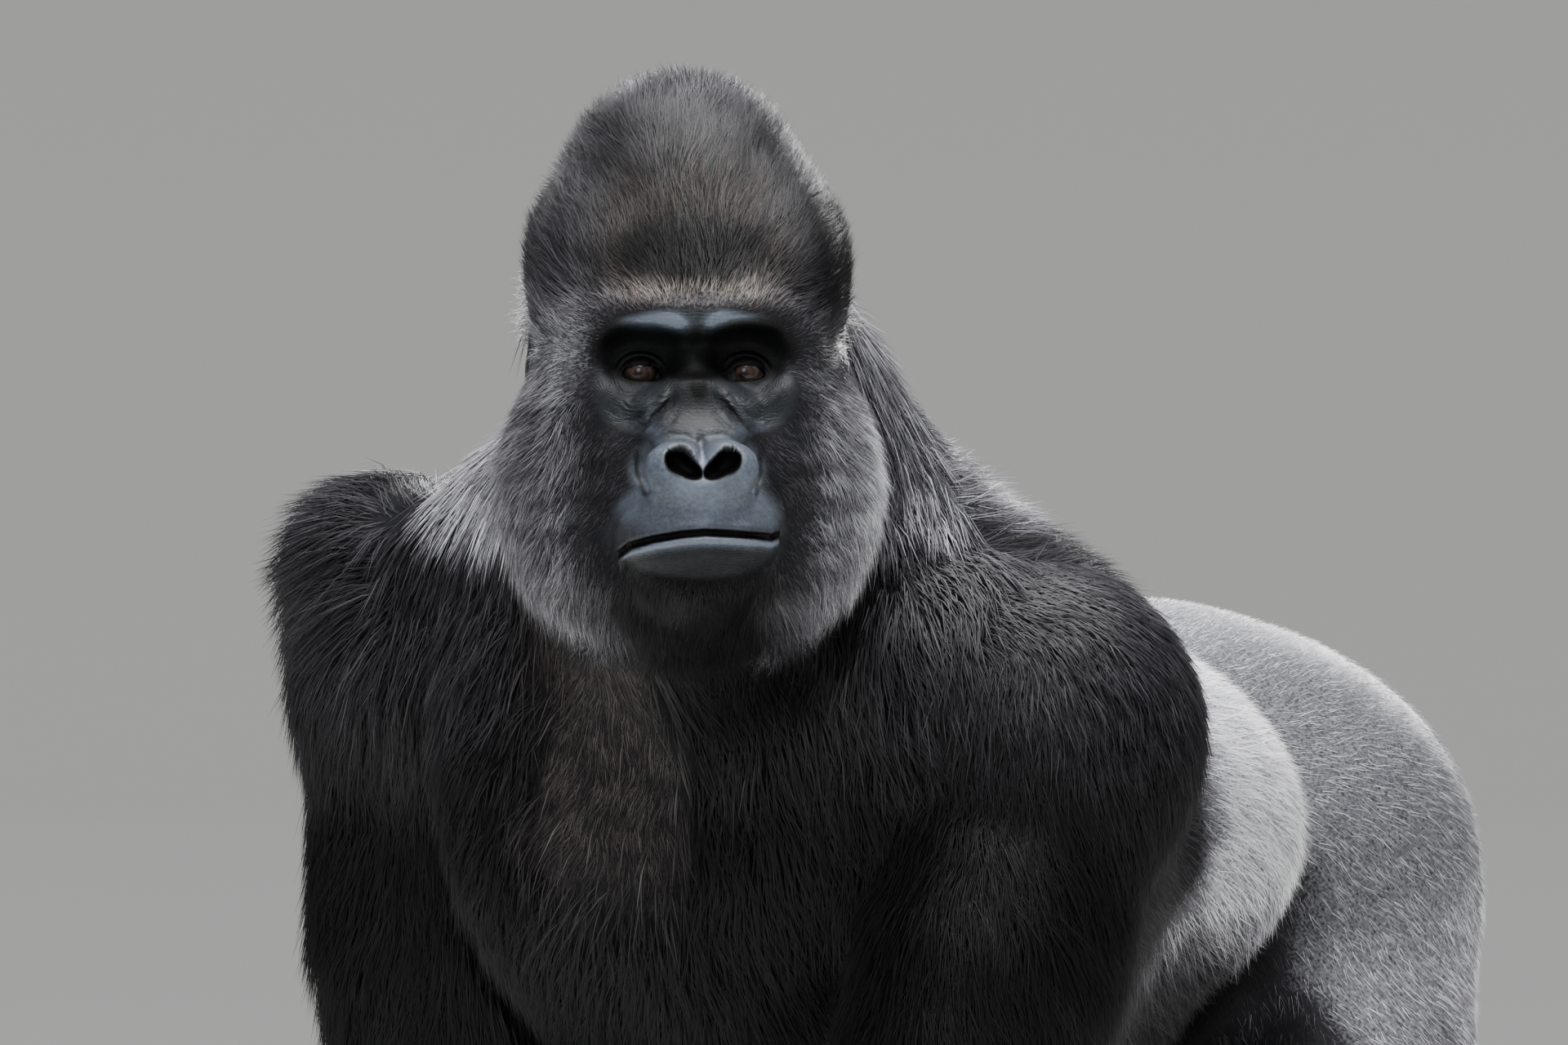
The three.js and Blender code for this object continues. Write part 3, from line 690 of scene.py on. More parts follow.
@dataclass(frozen=True)
class Markings:
    """How dark, silver, brown and bare each place of the body is. Skin and coat both read it."""

    animal: Animal

    def bare_face(self, local: Array) -> Array:
        """Distance in millimetres outside the bare face, in the head's frame. Negative on bare skin."""
        x, y, z = local.T
        side = np.abs(x - 1)
        ovals = (
            *((0, 16, 67, 25), (38, -14, 28, 24), (0, -30, 36, 36)),
            *((0, -64, 43, 28), (0, -94, 53, 26), (0, -109, 57, 25)),
        )
        inside = np.full(len(local), FAR)
        for cx, cz, rx, rz in ovals:
            reach = np.hypot((side - cx) / rx, (z - cz) / rz)
            inside = np.minimum(inside, (reach - 1) * min(rx, rz))
        ear = np.linalg.norm((local - [0, 84, 12]) * [0, 1, 0.75], axis=1) - 19
        ear = np.where(side > 95, ear, FAR)
        return np.minimum(np.where(y < 40, inside, FAR), ear)

    def fur(self, points: Array, part: Array) -> Array:
        """How furred each place is, from 0 to 1."""
        local = self.animal.head_frame.local(points)
        below = self.animal.head.below_mouth(local)
        lips = np.maximum(ramp(below, 6, 12), 0.8 * ramp(below, -5, -9) * ramp(below, -20, -15))
        down = 0.16 * (lips * ramp(local[:, 1], -10, -34))
        amount = np.where(part == Part.HEAD, np.maximum(ramp(self.bare_face(local), -2, 4), down), 1.0)
        for side in Side:
            _, _, z = self.animal.hand_frames[side].local(points).T
            amount = np.where(part == part_of("HAND", side), ramp(z, 84, 118) * 0.8, amount)
            _, y, z = self.animal.foot_frames[side].local(points).T
            above = ramp(z, 56, 88) * ramp(y, -40, 20) * 0.8
            amount = np.where(part == part_of("FOOT", side), above, amount)
        trunk = np.isin(part, (Part.TRUNK, Part.NECK))
        return np.where(trunk, amount * (1 - 0.35 * self.chest(points)), amount)

    def chest(self, points: Array) -> Array:
        """How far each place belongs to the thinly haired plane of the chest, from 0 to 1."""
        x, y, z = points.T
        across = ramp(np.abs(x + 28 + 9 * ripple(points, 60, 5)), 88, 34)
        return ramp(y, -60, -110) * across * ramp(z, 600, 720) * ramp(z, 930, 880)

    def silver(self, points: Array, part: Array) -> Array:
        """How silver the coat is, from 0 for black to 1 for white."""
        x, y, z = points.T
        wave = ripple(points, 60, 21) * 6
        # The saddle: where it starts along the body, its lower edge, and how it fades towards the rump.
        start = np.interp(z, (560, 602, 640, 679, 735, 770, 860), (122, 154, 212, 256, 259, 264, 250))
        soft = 1 + 1.6 * ramp(z, 760, 850)
        along = ramp((y - start + wave) / soft, -84, 26) ** 1.5
        low = 0.14 * ramp(z, 520, 570) + 0.86 * ramp(z + 1.5 * wave, 575, 690)
        low += (1 - low) * ramp(y + wave, 490, 550)
        fade = 1 - (0.38 - 0.1 * ramp(z, 800, 840)) * ramp(y + wave, 350, 560)
        saddle = along * low * fade
        # The nape, greyer towards the right shoulder, and the black of the sides.
        nape = 0.4 + 0.13 * ramp(z, 968, 940) + 0.12 * ramp(x, -60, -130)
        nape = nape * ramp(z + 6 * ripple(points, 40, 8), 896, 934)
        nape *= ramp(x, -226, -186) * (1 - along)
        # The black hair is painted lighter towards the tops of the shoulders: a painted sheen of the light
        # from above.
        black = 0.02 + 0.2 * ramp(z, 690, 830)
        side = black + 0.17 * ramp(y, 90, 180) * ramp(z, 790, 730)
        chest = 0.3 * self.chest(points)
        trunk = np.maximum.reduce([saddle, nape, side, chest])
        # The thighs blend into the trunk, black at their fronts. The groin in front of them is darker:
        # darker hair there, with painted shade of the fold between belly and thigh.
        leg = (0.65 + 0.1 * ramp(y, 610, 680)) * ramp(z, 300, 560) * ramp(y + wave, 400, 450)
        parts = self.animal.parts
        thigh = np.minimum(parts[Part.LEG_LEFT](points), parts[Part.LEG_RIGHT](points))
        on_leg = ramp(parts[Part.TRUNK](points) - thigh, -16, 16)
        groin = ramp(y + wave, 380, 470) * ramp(y + wave, 566, 518) * ramp(z + wave, 690, 625)
        hind = trunk + (np.maximum(leg, 0.06) - trunk) * on_leg
        lower = np.isin(part, (Part.TRUNK, Part.LEG_LEFT, Part.LEG_RIGHT))
        tone = np.where(lower, hind * (1 - 0.8 * groin), black)
        tone = np.where(part == Part.NECK, np.maximum(np.maximum(nape, chest), 0.04), tone)
        return np.where(part == Part.HEAD, self.head_silver(points), tone)

    def head_silver(self, points: Array) -> Array:
        """How silver the head's coat is."""
        x, y, z = self.animal.head_frame.local(points).T
        side = np.abs(x)
        crown = 0.17 - 0.05 * ramp(x, 40, 90) + 0.05 * ramp(x, -40, -80) + 0.1 * ramp(z, 160, 200)
        # Paler hair along the outer edge of the cheeks and jaw, more on the left side: painted rim light
        # from the lamps behind.
        jaw = (0.12 + 0.08 * np.sign(x)) * ramp(side, 98, 122) * ramp(z, 10, -30)
        cheek = 0.26 + 0.22 * ramp(side, 62, 92) + jaw
        tone = crown + (cheek - crown) * ramp(z, 62, 4)
        tone += (0.17 - 0.07 * np.sign(x)) * bell(np.hypot((side - 80) / 22, (z - 22) / 28), 1.0)
        tone -= 0.05 * ramp(x, -74, -100) * ramp(z, 40, 0)
        tone -= 0.17 * ramp(x, 66, 92) * ramp(z, -24, 10)
        tone -= 0.36 * ramp(np.hypot(x / 40, (z - 76) / 19), 1.35, 0.5)
        tone += 0.34 * bell(z - 50 + 8 * ramp(side, 30, 80), 12) * bell(x, 70)
        tone -= 0.23 * ramp(z, -118, -142) * ramp(side, 62, 34)
        tone += 0.14 * ramp(z, -130, -170) * ramp(side, 30, 60)
        nape = 0.45 - 0.2 * ramp(side, 70, 100) * ramp(z, -20, 20)
        tone += (nape - tone) * ramp(y, 80, 150) * ramp(z, 150, 70)
        return np.clip(tone, 0.03, 1)

    def brown(self, points: Array, part: Array) -> Array:
        """How brown the coat is, from 0 to 1."""
        x, y, z = self.animal.head_frame.local(points).T
        crown = ramp(np.hypot(x / 60, (z - 75) / 60), 1.4, 0.5) * ramp(y, 90, 40) * 0.8
        chest = np.where(part <= Part.TRUNK, 0.45 * self.chest(points), 0.0)
        return np.where(part == Part.HEAD, crown, chest)

    def pale(self, local: Array) -> Array:
        """How pale the bare skin is, in the head's frame, from 0 for black to 1."""
        x, y, z = local.T
        head = self.animal.head
        side, below, lower = np.abs(x), head.below_mouth(local), ramp(y, -20, -40)
        # The nose and lips are pale. The sockets, the middle between them and a wedge there are dark: dark
        # skin, with painted shade of the deep hollows under the brow.
        lips = bell(np.hypot((x - 2) / 58, (z + 70) / 34), 1.0)
        tone = 0.42 - 0.04 * bell(x, 16) * ramp(z, -40, -30) + 0.56 * lips
        sockets = ramp(np.hypot((side - 37) / 35, (z - 16) / 22.5), 1.1, 0.88)
        middle = ramp(np.hypot(x / 28, (z - 13) / 19), 1.12, 0.86)
        wedge = ramp(np.hypot((x - 2) / 6.5, (z + 4) / 13), 1.4, 0.6)
        tone *= 1 - np.maximum(0.78 * np.maximum(sockets, middle), 0.86 * wedge)
        # A pale strip along the brow, which is a painted highlight on the brow ridge, and a darker bridge.
        brow_highlight = z - 36 - 4.2 * ramp(x, -8, 30) + 6 * bell(x - 2, 16) - 2.5 * ramp(side, 30, 50)
        tone += 1.0 * bell(brow_highlight, 6.4) * ramp(side, 64, 46) * (1 - 0.7 * bell(x - 1, 9))
        tone -= 0.17 * ramp(np.hypot(x / 25, (z + 30) / 24), 1.25, 0.6)
        # The lower lip with its pale rim, painted shade in the creases beside the nose, and the mouth's line
        # and the nostrils painted black for the shade in their hollows.
        tone += 0.1 * ramp(below, -24, -12) * lower * ramp(side, 62, 30)
        tone += 0.52 * bell(below - 5.3, 2.2) * (side < 55) * lower
        tone -= 0.22 * ramp(below, 8, 14) * lower
        for s in (-1, 1):
            m = head.nose_middle
            wing, _ = off_path(local, ((m + s * 41, -52), (m + s * 41, -66), (m + s * 37, -80)))
            tone *= 1 - 0.5 * bell(wing, 1.8) * ramp(y, -20, -34)
        off, _ = off_path(local, head.mouth)
        tone *= 1 - ramp(off, 3.2, 1.9) * lower
        tone *= ramp(head.nostrils()(local), 0.2, 2.2)
        return np.clip(tone, 0, 1)


# ---------------------------------------------------------------- finishes


@dataclass(frozen=True)
class Term:
    """The output of a shader node. Arithmetic with it adds Math nodes to its tree."""

    nodes: "Nodes"
    socket: Any

    def __add__(self, other: "Term | float") -> "Term":
        """The sum."""
        return self.nodes.math("ADD", self, other)

    def __sub__(self, other: "Term | float") -> "Term":
        """The difference."""
        return self.nodes.math("SUBTRACT", self, other)

    def __mul__(self, other: "Term | float") -> "Term":
        """The product."""
        return self.nodes.math("MULTIPLY", self, other)

    def __truediv__(self, other: "Term | float") -> "Term":
        """The quotient."""
        return self.nodes.math("DIVIDE", self, other)

    def clamped(self) -> "Term":
        """The value, kept between 0 and 1."""
        return self.nodes.math("MINIMUM", self.nodes.math("MAXIMUM", self, 0.0), 1.0)


class Nodes:
    """A material's node tree, with one way to add a node."""

    def __init__(self, name: str) -> None:
        """Starts an empty tree for a material of this name."""
        self.material = bpy.data.materials.new(name)
        self.material.use_nodes = True
        self.tree = self.material.node_tree
        self.tree.nodes.clear()

    def add(self, kind: str, inputs: dict[Any, Any] | None = None, **settings: Any) -> Any:
        """Adds a node.

        Args:
            kind: The node's type.
            inputs: What feeds each input: a Term, a hex colour or a constant.
            settings: The node's own properties.

        Returns:
            The node.
        """
        node = self.tree.nodes.new(kind)
        for key, value in settings.items():
            setattr(node, key, value)
        for key, value in (inputs or {}).items():
            if isinstance(value, Term):
                self.tree.links.new(value.socket, node.inputs[key])
            else:
                node.inputs[key].default_value = linear(value) if isinstance(value, str) else value
        return node

    def term(self, kind: str, inputs: dict[Any, Any], output: int | str = 0, **settings: Any) -> Term:
        """Adds a node and gives one of its outputs."""
        return Term(self, self.add(kind, inputs, **settings).outputs[output])

    def math(self, operation: str, *terms: Term | float) -> Term:
        """The output of a Math node."""
        return self.term("ShaderNodeMath", dict(enumerate(terms)), operation=operation)

    def attribute(self, name: str, output: str) -> Term:
        """A vertex attribute of the mesh."""
        return self.term("ShaderNodeAttribute", {}, output, attribute_name=name, attribute_type="GEOMETRY")

    def split(self, kind: str, whole: Term) -> list[Term]:
        """The first three outputs of a node that separates a colour or a vector."""
        return [Term(self, socket) for socket in self.add(kind, {0: whole}).outputs[:3]]

    def noise(self, place: Term, size: float, detail: float, distortion: float = 0.0) -> Term:
        """Noise whose features are about size mm across."""
        values = {"Vector": place, "Scale": 1 / (size * MM), "Detail": detail, "Distortion": distortion}
        return self.term("ShaderNodeTexNoise", values)

    def bump(self, height: Term, strength: float, distance: float) -> Term:
        """The normal of a surface with this height, for a relief of distance mm."""
        values = {"Height": height, "Strength": strength, "Distance": distance * MM}
        return self.term("ShaderNodeBump", values)

    def colours(self, factor: Term, stops: dict[float, str]) -> Term:
        """The output of a colour ramp with a hex colour at each of its places."""
        node = self.add("ShaderNodeValToRGB", {"Fac": factor})
        band = node.color_ramp
        while len(band.elements) < len(stops):
            band.elements.new(0.5)
        for element, (place, colour) in zip(band.elements, stops.items()):
            element.position, element.color = place, linear(colour)
        return Term(self, node.outputs["Color"])

    def mix(self, factor: Term, first: Term | str, second: Term | str) -> Term:
        """A mix of two colours, which is second where factor is 1."""
        return self.term("ShaderNodeMix", {0: factor, 6: first, 7: second}, 2, data_type="RGBA")

    def finish(self, inputs: dict[str, Any]) -> bpy.types.Material:
        """Gives the material a Principled surface with these inputs, and returns it."""
        shader, out = self.add("ShaderNodeBsdfPrincipled", inputs), self.add("ShaderNodeOutputMaterial")
        self.tree.links.new(shader.outputs[0], out.inputs["Surface"])
        return self.material


@dataclass(frozen=True)
class HairFinish:
    """Guard hair: a glossy keratin strand, dark at the root. Silver hairs are pale to the tip."""

    name: str = "guard_hair"
    roughness: float = 0.42

    def material(self) -> bpy.types.Material:
        """Builds the material, which reads each tuft's tone, root-to-tip place, chance and brown."""
        nodes = Nodes(self.name)
        tone, tip, chance = nodes.split("ShaderNodeSeparateColor", nodes.attribute("coat", "Color"))
        spread = (chance - 0.5) * (tone * 0.66 + 0.14)
        shade = tone * (tip * 0.32 + 0.68) + spread
        darks = {0.0: "#040405", 0.12: "#121215", 0.3: "#3c3b3f", 0.5: "#7f7e85"}
        greys = darks | {0.7: "#cfcfd5", 0.86: "#fbfbff"}
        browns = {0.0: "#0b0908", 0.12: "#1a1513", 0.3: "#43372f", 0.55: "#857568", 1.0: "#cdc0b4"}
        grey, brown = nodes.colours(shade, greys), nodes.colours(shade, browns)
        colour = nodes.mix(nodes.attribute("coat", "Alpha"), grey, brown)
        return nodes.finish({"Base Color": colour, "Roughness": self.roughness, "Specular IOR Level": 0.17})


@dataclass(frozen=True)
class SkinFinish:
    """Bare ape skin: dark, dry leather with fine creases. Under the coat it is dense underfur."""

    name: str = "creased_skin"
    pore_mm: float = 1.3
    crease_mm: float = 3.2
    blotch_mm: float = 18.0
    speck_mm: float = 2.4

    def material(self) -> bpy.types.Material:
        """Builds the material, which reads the tone, fur and paleness of the markings."""
        nodes = Nodes(self.name)
        tone, fur, pale = nodes.split("ShaderNodeSeparateColor", nodes.attribute("marks", "Color"))
        place = nodes.term("ShaderNodeTexCoord", {}, "Object")
        blotch, speck = nodes.noise(place, self.blotch_mm, 3.0), nodes.noise(place, self.speck_mm, 2.0)
        furrows = self.wrinkles(nodes, place)
        # The colour is darker in the fine creases: painted shade.
        tint = pale + (blotch * 0.34 + speck * 0.3 - 0.32) - furrows * 0.16
        darks = {0.0: "#040405", 0.25: "#0d0e10", 0.5: "#202429", 0.75: "#3a414b", 1.0: "#616b79"}
        felt = tone * ((speck - 0.5) * 1.1 + 0.93)
        felts = {0.0: "#060607", 0.4: "#242427", 0.7: "#6f6f75", 1.0: "#bdbdc3"}
        colour = nodes.mix(fur, nodes.colours(tint, darks), nodes.colours(felt, felts))
        cells = {"Vector": place, "Scale": 1 / (self.pore_mm * MM)}
        pores = nodes.term("ShaderNodeTexVoronoi", cells, "Distance", feature="DISTANCE_TO_EDGE")
        grain = pores * 0.35 + nodes.noise(place, self.crease_mm, 4.0, 0.6) * 0.7
        gloss = (pale * 0.3 + 0.05) * nodes.math("SUBTRACT", 1.2, fur)
        normal = nodes.bump(grain - furrows, 0.7, 0.6)
        return nodes.finish(
            {"Base Color": colour, "Normal": normal, "Specular IOR Level": gloss, "Roughness": 0.5}
        )

    def wrinkles(self, nodes: Nodes, place: Term) -> Term:
        """Fine broken creases along the lids, the lower lip and the bridge.

        Args:
            nodes: The material's tree.
            place: The object coordinates.

        Returns:
            How deep in a crease each place lies, from 0 to 1.
        """
        along = nodes.split("ShaderNodeSeparateXYZ", nodes.attribute("folds", "Vector"))
        weights = nodes.split("ShaderNodeSeparateXYZ", nodes.attribute("wrinkled", "Vector"))
        warp, patchy = nodes.noise(place, 12, 2.0), nodes.noise(place, 5, 1.0)
        total: Any = 0.0
        kinds = ((1.9, 9.0, 0.5), (1.6, 5.0, 0.4), (2.4, 7.0, 0.35))
        for (spacing, wander, deep), at, weight in zip(kinds, along, weights):
            wave = nodes.math("SINE", (at + warp * wander) * (2 * math.pi / spacing))
            notch = nodes.math("POWER", wave * 0.5 + 0.5, 2.0) * deep
            total = notch * weight + total
        return total * ((patchy - 0.34) * 4.5).clamped()


@dataclass(frozen=True)
class EyeFinish:
    """A living eye: a wet, clear surface over a red-brown iris, with a dark white of the eye."""

    name: str = "wet_eye"
    ball_mm: float = 12.0
    iris_mm: float = 6.3
    pupil_mm: float = 2.5

    def material(self) -> bpy.types.Material:
        """Builds the material, which reads the eye's own coordinates in mm, its axis along X."""
        nodes = Nodes(self.name)
        _, across, up = nodes.split("ShaderNodeSeparateXYZ", nodes.attribute("gaze", "Vector"))
        radius = nodes.math("SQRT", across * across + up * up)
        angle = nodes.math("ARCTAN2", up, across)
        rays = nodes.term("ShaderNodeCombineXYZ", {0: angle * 5.0, 1: radius * 0.35})
        fibre = nodes.term("ShaderNodeTexNoise", {"Vector": rays, "Scale": 2.2, "Detail": 3.0})
        browns = {0.1: "#090505", 0.4: "#1f1411", 0.6: "#3a2721", 0.75: "#231613", 0.95: "#060404"}
        iris = nodes.colours(radius / self.iris_mm * 0.5 + fibre * 0.45, browns)
        inner = nodes.mix(self.past(radius, self.pupil_mm, 0.4), "#030303", iris)
        white = nodes.colours(radius / self.ball_mm, {0.5: "#1b1410", 0.7: "#3a2d26", 0.95: "#130e0b"})
        colour = nodes.mix(self.past(radius, self.iris_mm, 0.7), inner, white)
        wet = {"Coat Weight": 0.8, "Coat Roughness": 0.03, "Coat IOR": 1.36}
        return nodes.finish({"Base Color": colour, "Roughness": 0.4, "Specular IOR Level": 0.1, **wet})

    def past(self, radius: Term, edge: float, soft: float) -> Term:
        """A value that rises from 0 to 1 as radius passes edge, over soft mm."""
        return ((radius - (edge - soft / 2)) / soft).clamped()


@dataclass(frozen=True)
class NailFinish:
    """Nails: dark horn, worn to a satin, with a fine grain."""

    name: str = "dark_horn"

    def material(self) -> bpy.types.Material:
        """Builds the material."""
        nodes = Nodes(self.name)
        grain = nodes.noise(nodes.term("ShaderNodeTexCoord", {}, "Object"), 1.6, 3.0)
        colour = nodes.colours(grain, {0.2: "#141210", 0.8: "#3a342f"})
        normal = nodes.bump(grain, 0.3, 0.2)
        return nodes.finish({"Base Color": colour, "Normal": normal, "Roughness": 0.35})


@dataclass(frozen=True)
class FloorFinish:
    """A matt, pale studio floor."""

    name: str = "matt_floor"

    def material(self) -> bpy.types.Material:
        """Builds the material."""
        return Nodes(self.name).finish({"Base Color": "#d9d9d6", "Roughness": 0.9})


# ---------------------------------------------------------------- meshes


def deselect() -> None:
    """Leaves edit mode and deselects everything."""
    if bpy.context.object and bpy.context.object.mode != "OBJECT":
        bpy.ops.object.mode_set(mode="OBJECT")
    bpy.ops.object.select_all(action="DESELECT")


def only(piece: bpy.types.Object) -> None:
    """Makes piece the one selected and active object."""
    deselect()
    piece.select_set(True)
    bpy.context.view_layer.objects.active = piece


def new_piece(name: str, points: Array, faces: Array, smooth: bool = True) -> bpy.types.Object:
    """Makes a mesh object from arrays.

    Args:
        name: The piece's name.
        points: Places in metres, one row each.
        faces: Corners of each face, three or four to a row.
        smooth: Whether the faces are shaded smooth.

    Returns:
        The object, at the origin.
    """
    mesh = bpy.data.meshes.new(name)
    count, corners = faces.shape
    mesh.vertices.add(len(points))
    mesh.vertices.foreach_set("co", np.ascontiguousarray(points, np.float32).ravel())
    mesh.loops.add(count * corners)
    mesh.loops.foreach_set("vertex_index", np.ascontiguousarray(faces, np.int32).ravel())
    mesh.polygons.add(count)
    mesh.polygons.foreach_set("loop_start", np.arange(0, count * corners, corners, dtype=np.int32))
    mesh.polygons.foreach_set("use_smooth", np.full(count, smooth))
    mesh.update(calc_edges=True)
    piece = bpy.data.objects.new(name, mesh)
    bpy.context.scene.collection.objects.link(piece)
    return piece


def vertices_of(piece: bpy.types.Object) -> Array:
    """The places of a piece's vertices."""
    flat = np.empty(len(piece.data.vertices) * 3, np.float32)
    piece.data.vertices.foreach_get("co", flat)
    return flat.reshape(-1, 3).astype(float)


def set_vertices(piece: bpy.types.Object, points: Array) -> None:
    """Moves a piece's vertices."""
    piece.data.vertices.foreach_set("co", points.astype(np.float32).ravel())
    piece.data.update()


def set_attribute(piece: bpy.types.Object, name: str, values: Array, kind: str = "FLOAT_COLOR") -> None:
    """Gives each vertex a value of a named attribute."""
    layer = piece.data.attributes.new(name, kind, "POINT")
    key = "color" if kind == "FLOAT_COLOR" else "vector"
    layer.data.foreach_set(key, values.astype(np.float32).ravel())


# ---------------------------------------------------------------- skin


@dataclass
class Skin:
    """One closed skin over the whole body, finest round the eyes. Its grid reaches from low to high."""

    animal: Animal
    markings: Markings
    cell: float = 14.0
    low: Triple = (-420.0, -490.0, -30.0)
    high: Triple = (420.0, 960.0, 1260.0)
    body_pale: float = 0.36  # paleness of the bare skin of hands and feet
    name: str = "skin"

    def rough(self) -> bpy.types.Object:
        """The body's surface on an even grid, in the animal's millimetres."""
        low = np.array(self.low)
        counts = ((np.array(self.high) - low) / self.cell).astype(int) + 1
        axes = [low[i] + self.cell * np.arange(counts[i]) for i in range(3)]
        values = np.empty(counts, np.float32)
        plane = np.stack(np.meshgrid(axes[1], axes[2], indexing="ij"), -1).reshape(-1, 2)
        for i, x in enumerate(axes[0]):
            points = np.column_stack([np.full(len(plane), x), plane])
            values[i] = self.animal.skin(points).reshape(counts[1], counts[2])
        grid = openvdb.FloatGrid(FAR)
        grid.copyFromArray(values)
        points, quads = grid.convertToQuads(0.0)
        return new_piece(self.name, points.astype(float) * self.cell + low, quads.astype(np.int32))

    def settle(self, points: Array) -> Array:
        """Moves points onto the skin's field along its gradient, in two steps.

        Args:
            points: The animal's points.

        Returns:
            The moved points.
        """
        value, gradient = self.animal.slope(points)
        size = np.maximum((gradient**2).sum(1), 0.25)
        for again in (True, False):
            step = np.clip(value / size, -self.cell, self.cell)
            points = points - step[:, None] * gradient
            points[:, 2] = np.maximum(points[:, 2], 0.0)
            if again:
                value = self.animal.skin(points)
        return points

    def zones(self, points: Array) -> list[Array]:
        """For each level of refinement, which points lie in its zone."""
        ends = np.zeros(len(points), bool)
        for end in Side:
            x, y, z = self.animal.hand_frames[end].local(points).T
            ends |= (z < 112) & (np.abs(x) < 95) & (np.abs(y) < 85)
            x, y, z = self.animal.foot_frames[end].local(points).T
            ends |= (z < 60) & (y < -20) & (y > -160) & (np.abs(x) < 95)
        head = self.animal.head_frame.local(points)
        x, y, z = head.T
        side = np.abs(x)
        near_head = (np.linalg.norm(head - [0, 40, 0], axis=1) < 215) & (y < 110)
        ear = (np.abs(side - 100) < 20) & (np.abs(y - 86) < 26) & (np.abs(z - 12) < 32)
        face = (y < 22) & (side < 72) & (z > -150) & (z < 54)
        bare = (y < 6) & (side < 60) & (z > -134) & (z < 46) & ((z > -92) | (y < -30))
        eyes = (np.hypot(side - 35, z) < 18) & (y < 4)
        mouth = (np.abs(self.animal.head.below_mouth(head)) < 8) & (side < 57) & (y < -30)
        nose = (side < 42) & (z < -38) & (z > -84) & (y < -45)
        folds = (side > 8) & (side < 46) & (z < -10) & (z > -44) & (y < -5)
        return [near_head | ends, face | ear | ends, bare, eyes | mouth | nose | folds]

    def select(self, piece: bpy.types.Object, chosen: Array) -> None:
        """Goes into edit mode with the faces between the chosen vertices selected."""
        only(piece)
        bpy.ops.object.mode_set(mode="EDIT")
        bpy.ops.mesh.select_mode(type="VERT")
        bpy.ops.mesh.select_all(action="DESELECT")
        bpy.ops.object.mode_set(mode="OBJECT")
        piece.data.vertices.foreach_set("select", chosen)
        bpy.ops.object.mode_set(mode="EDIT")
        bpy.ops.mesh.select_mode(type="FACE")

    def refine(self, piece: bpy.types.Object) -> None:
        """Subdivides each zone in turn and settles it again."""
        for level in range(4):
            self.select(piece, self.zones(vertices_of(piece))[level])
            bpy.ops.mesh.subdivide(number_cuts=1, ngon=False)
            bpy.ops.object.mode_set(mode="OBJECT")
            points = vertices_of(piece)
            near = self.zones(points)[level]
            points[near] = self.settle(points[near])
            set_vertices(piece, points)
            LOG.info("skin: %d faces at level %d", len(piece.data.polygons), level)

    def relax(self, piece: bpy.types.Object, rounds: int) -> None:
        """Evens out the finer zones along the surface and settles them."""
        edges = np.empty(len(piece.data.edges) * 2, np.int32)
        piece.data.edges.foreach_get("vertices", edges)
        a, b = edges.reshape(-1, 2).T
        points = vertices_of(piece)
        count = len(points)
        near = self.zones(points)[0]
        degree = np.bincount(np.concatenate([a, b]), minlength=count)[:, None]
        for _ in range(rounds):
            total = [np.bincount(a, axis[b], count) + np.bincount(b, axis[a], count) for axis in points.T]
            pull = (np.stack(total, 1) / degree - points)[near]
            _, gradient = self.animal.slope(points[near])
            normal = unit(gradient)
            pull -= (pull * normal).sum(1, keepdims=True) * normal
            points[near] = self.settle(points[near] + 0.5 * pull)
        set_vertices(piece, points)

    def mark(self, piece: bpy.types.Object, points: Array) -> None:
        """Writes the markings on the vertices as tone, fur and paleness, and the places of the folds."""
        part = self.animal.nearest_part(points)
        local = self.animal.head_frame.local(points)
        head, marks = self.animal.head, self.markings
        pale = np.where(part == Part.HEAD, marks.pale(local), self.body_pale)
        values = [marks.silver(points, part), marks.fur(points, part), pale, marks.brown(points, part)]
        set_attribute(piece, "marks", np.clip(np.stack(values, 1), 0, 1))
        folds = np.stack([head.round_eye(local), head.below_mouth(local), local[:, 2]], 1)
        set_attribute(piece, "folds", folds, "FLOAT_VECTOR")
        wrinkled = head.wrinkled(local) * (part == Part.HEAD)[:, None]
        set_attribute(piece, "wrinkled", wrinkled, "FLOAT_VECTOR")

    def build(self) -> bpy.types.Object:
        """Builds the skin, dresses it, and lets it stand for the nodes of flesh."""
        piece = self.rough()
        LOG.info("skin: %d faces on the even grid", len(piece.data.polygons))
        set_vertices(piece, self.settle(vertices_of(piece)))
        self.refine(piece)
        self.relax(piece, 2)
        points = vertices_of(piece)
        self.mark(piece, points)
        set_vertices(piece, self.animal.to_frame(points))
        only(piece)
        bpy.ops.object.mode_set(mode="EDIT")
        bpy.ops.mesh.select_all(action="SELECT")
        bpy.ops.mesh.normals_make_consistent(inside=False)
        bpy.ops.object.mode_set(mode="OBJECT")
        bpy.ops.object.shade_smooth()
        piece.data.materials.append(SkinFinish().material())
        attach(piece, BODY)
        flesh = [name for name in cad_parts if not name.startswith("eye_")]
        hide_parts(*flesh)
        return piece


# ---------------------------------------------------------------- eyes and nails


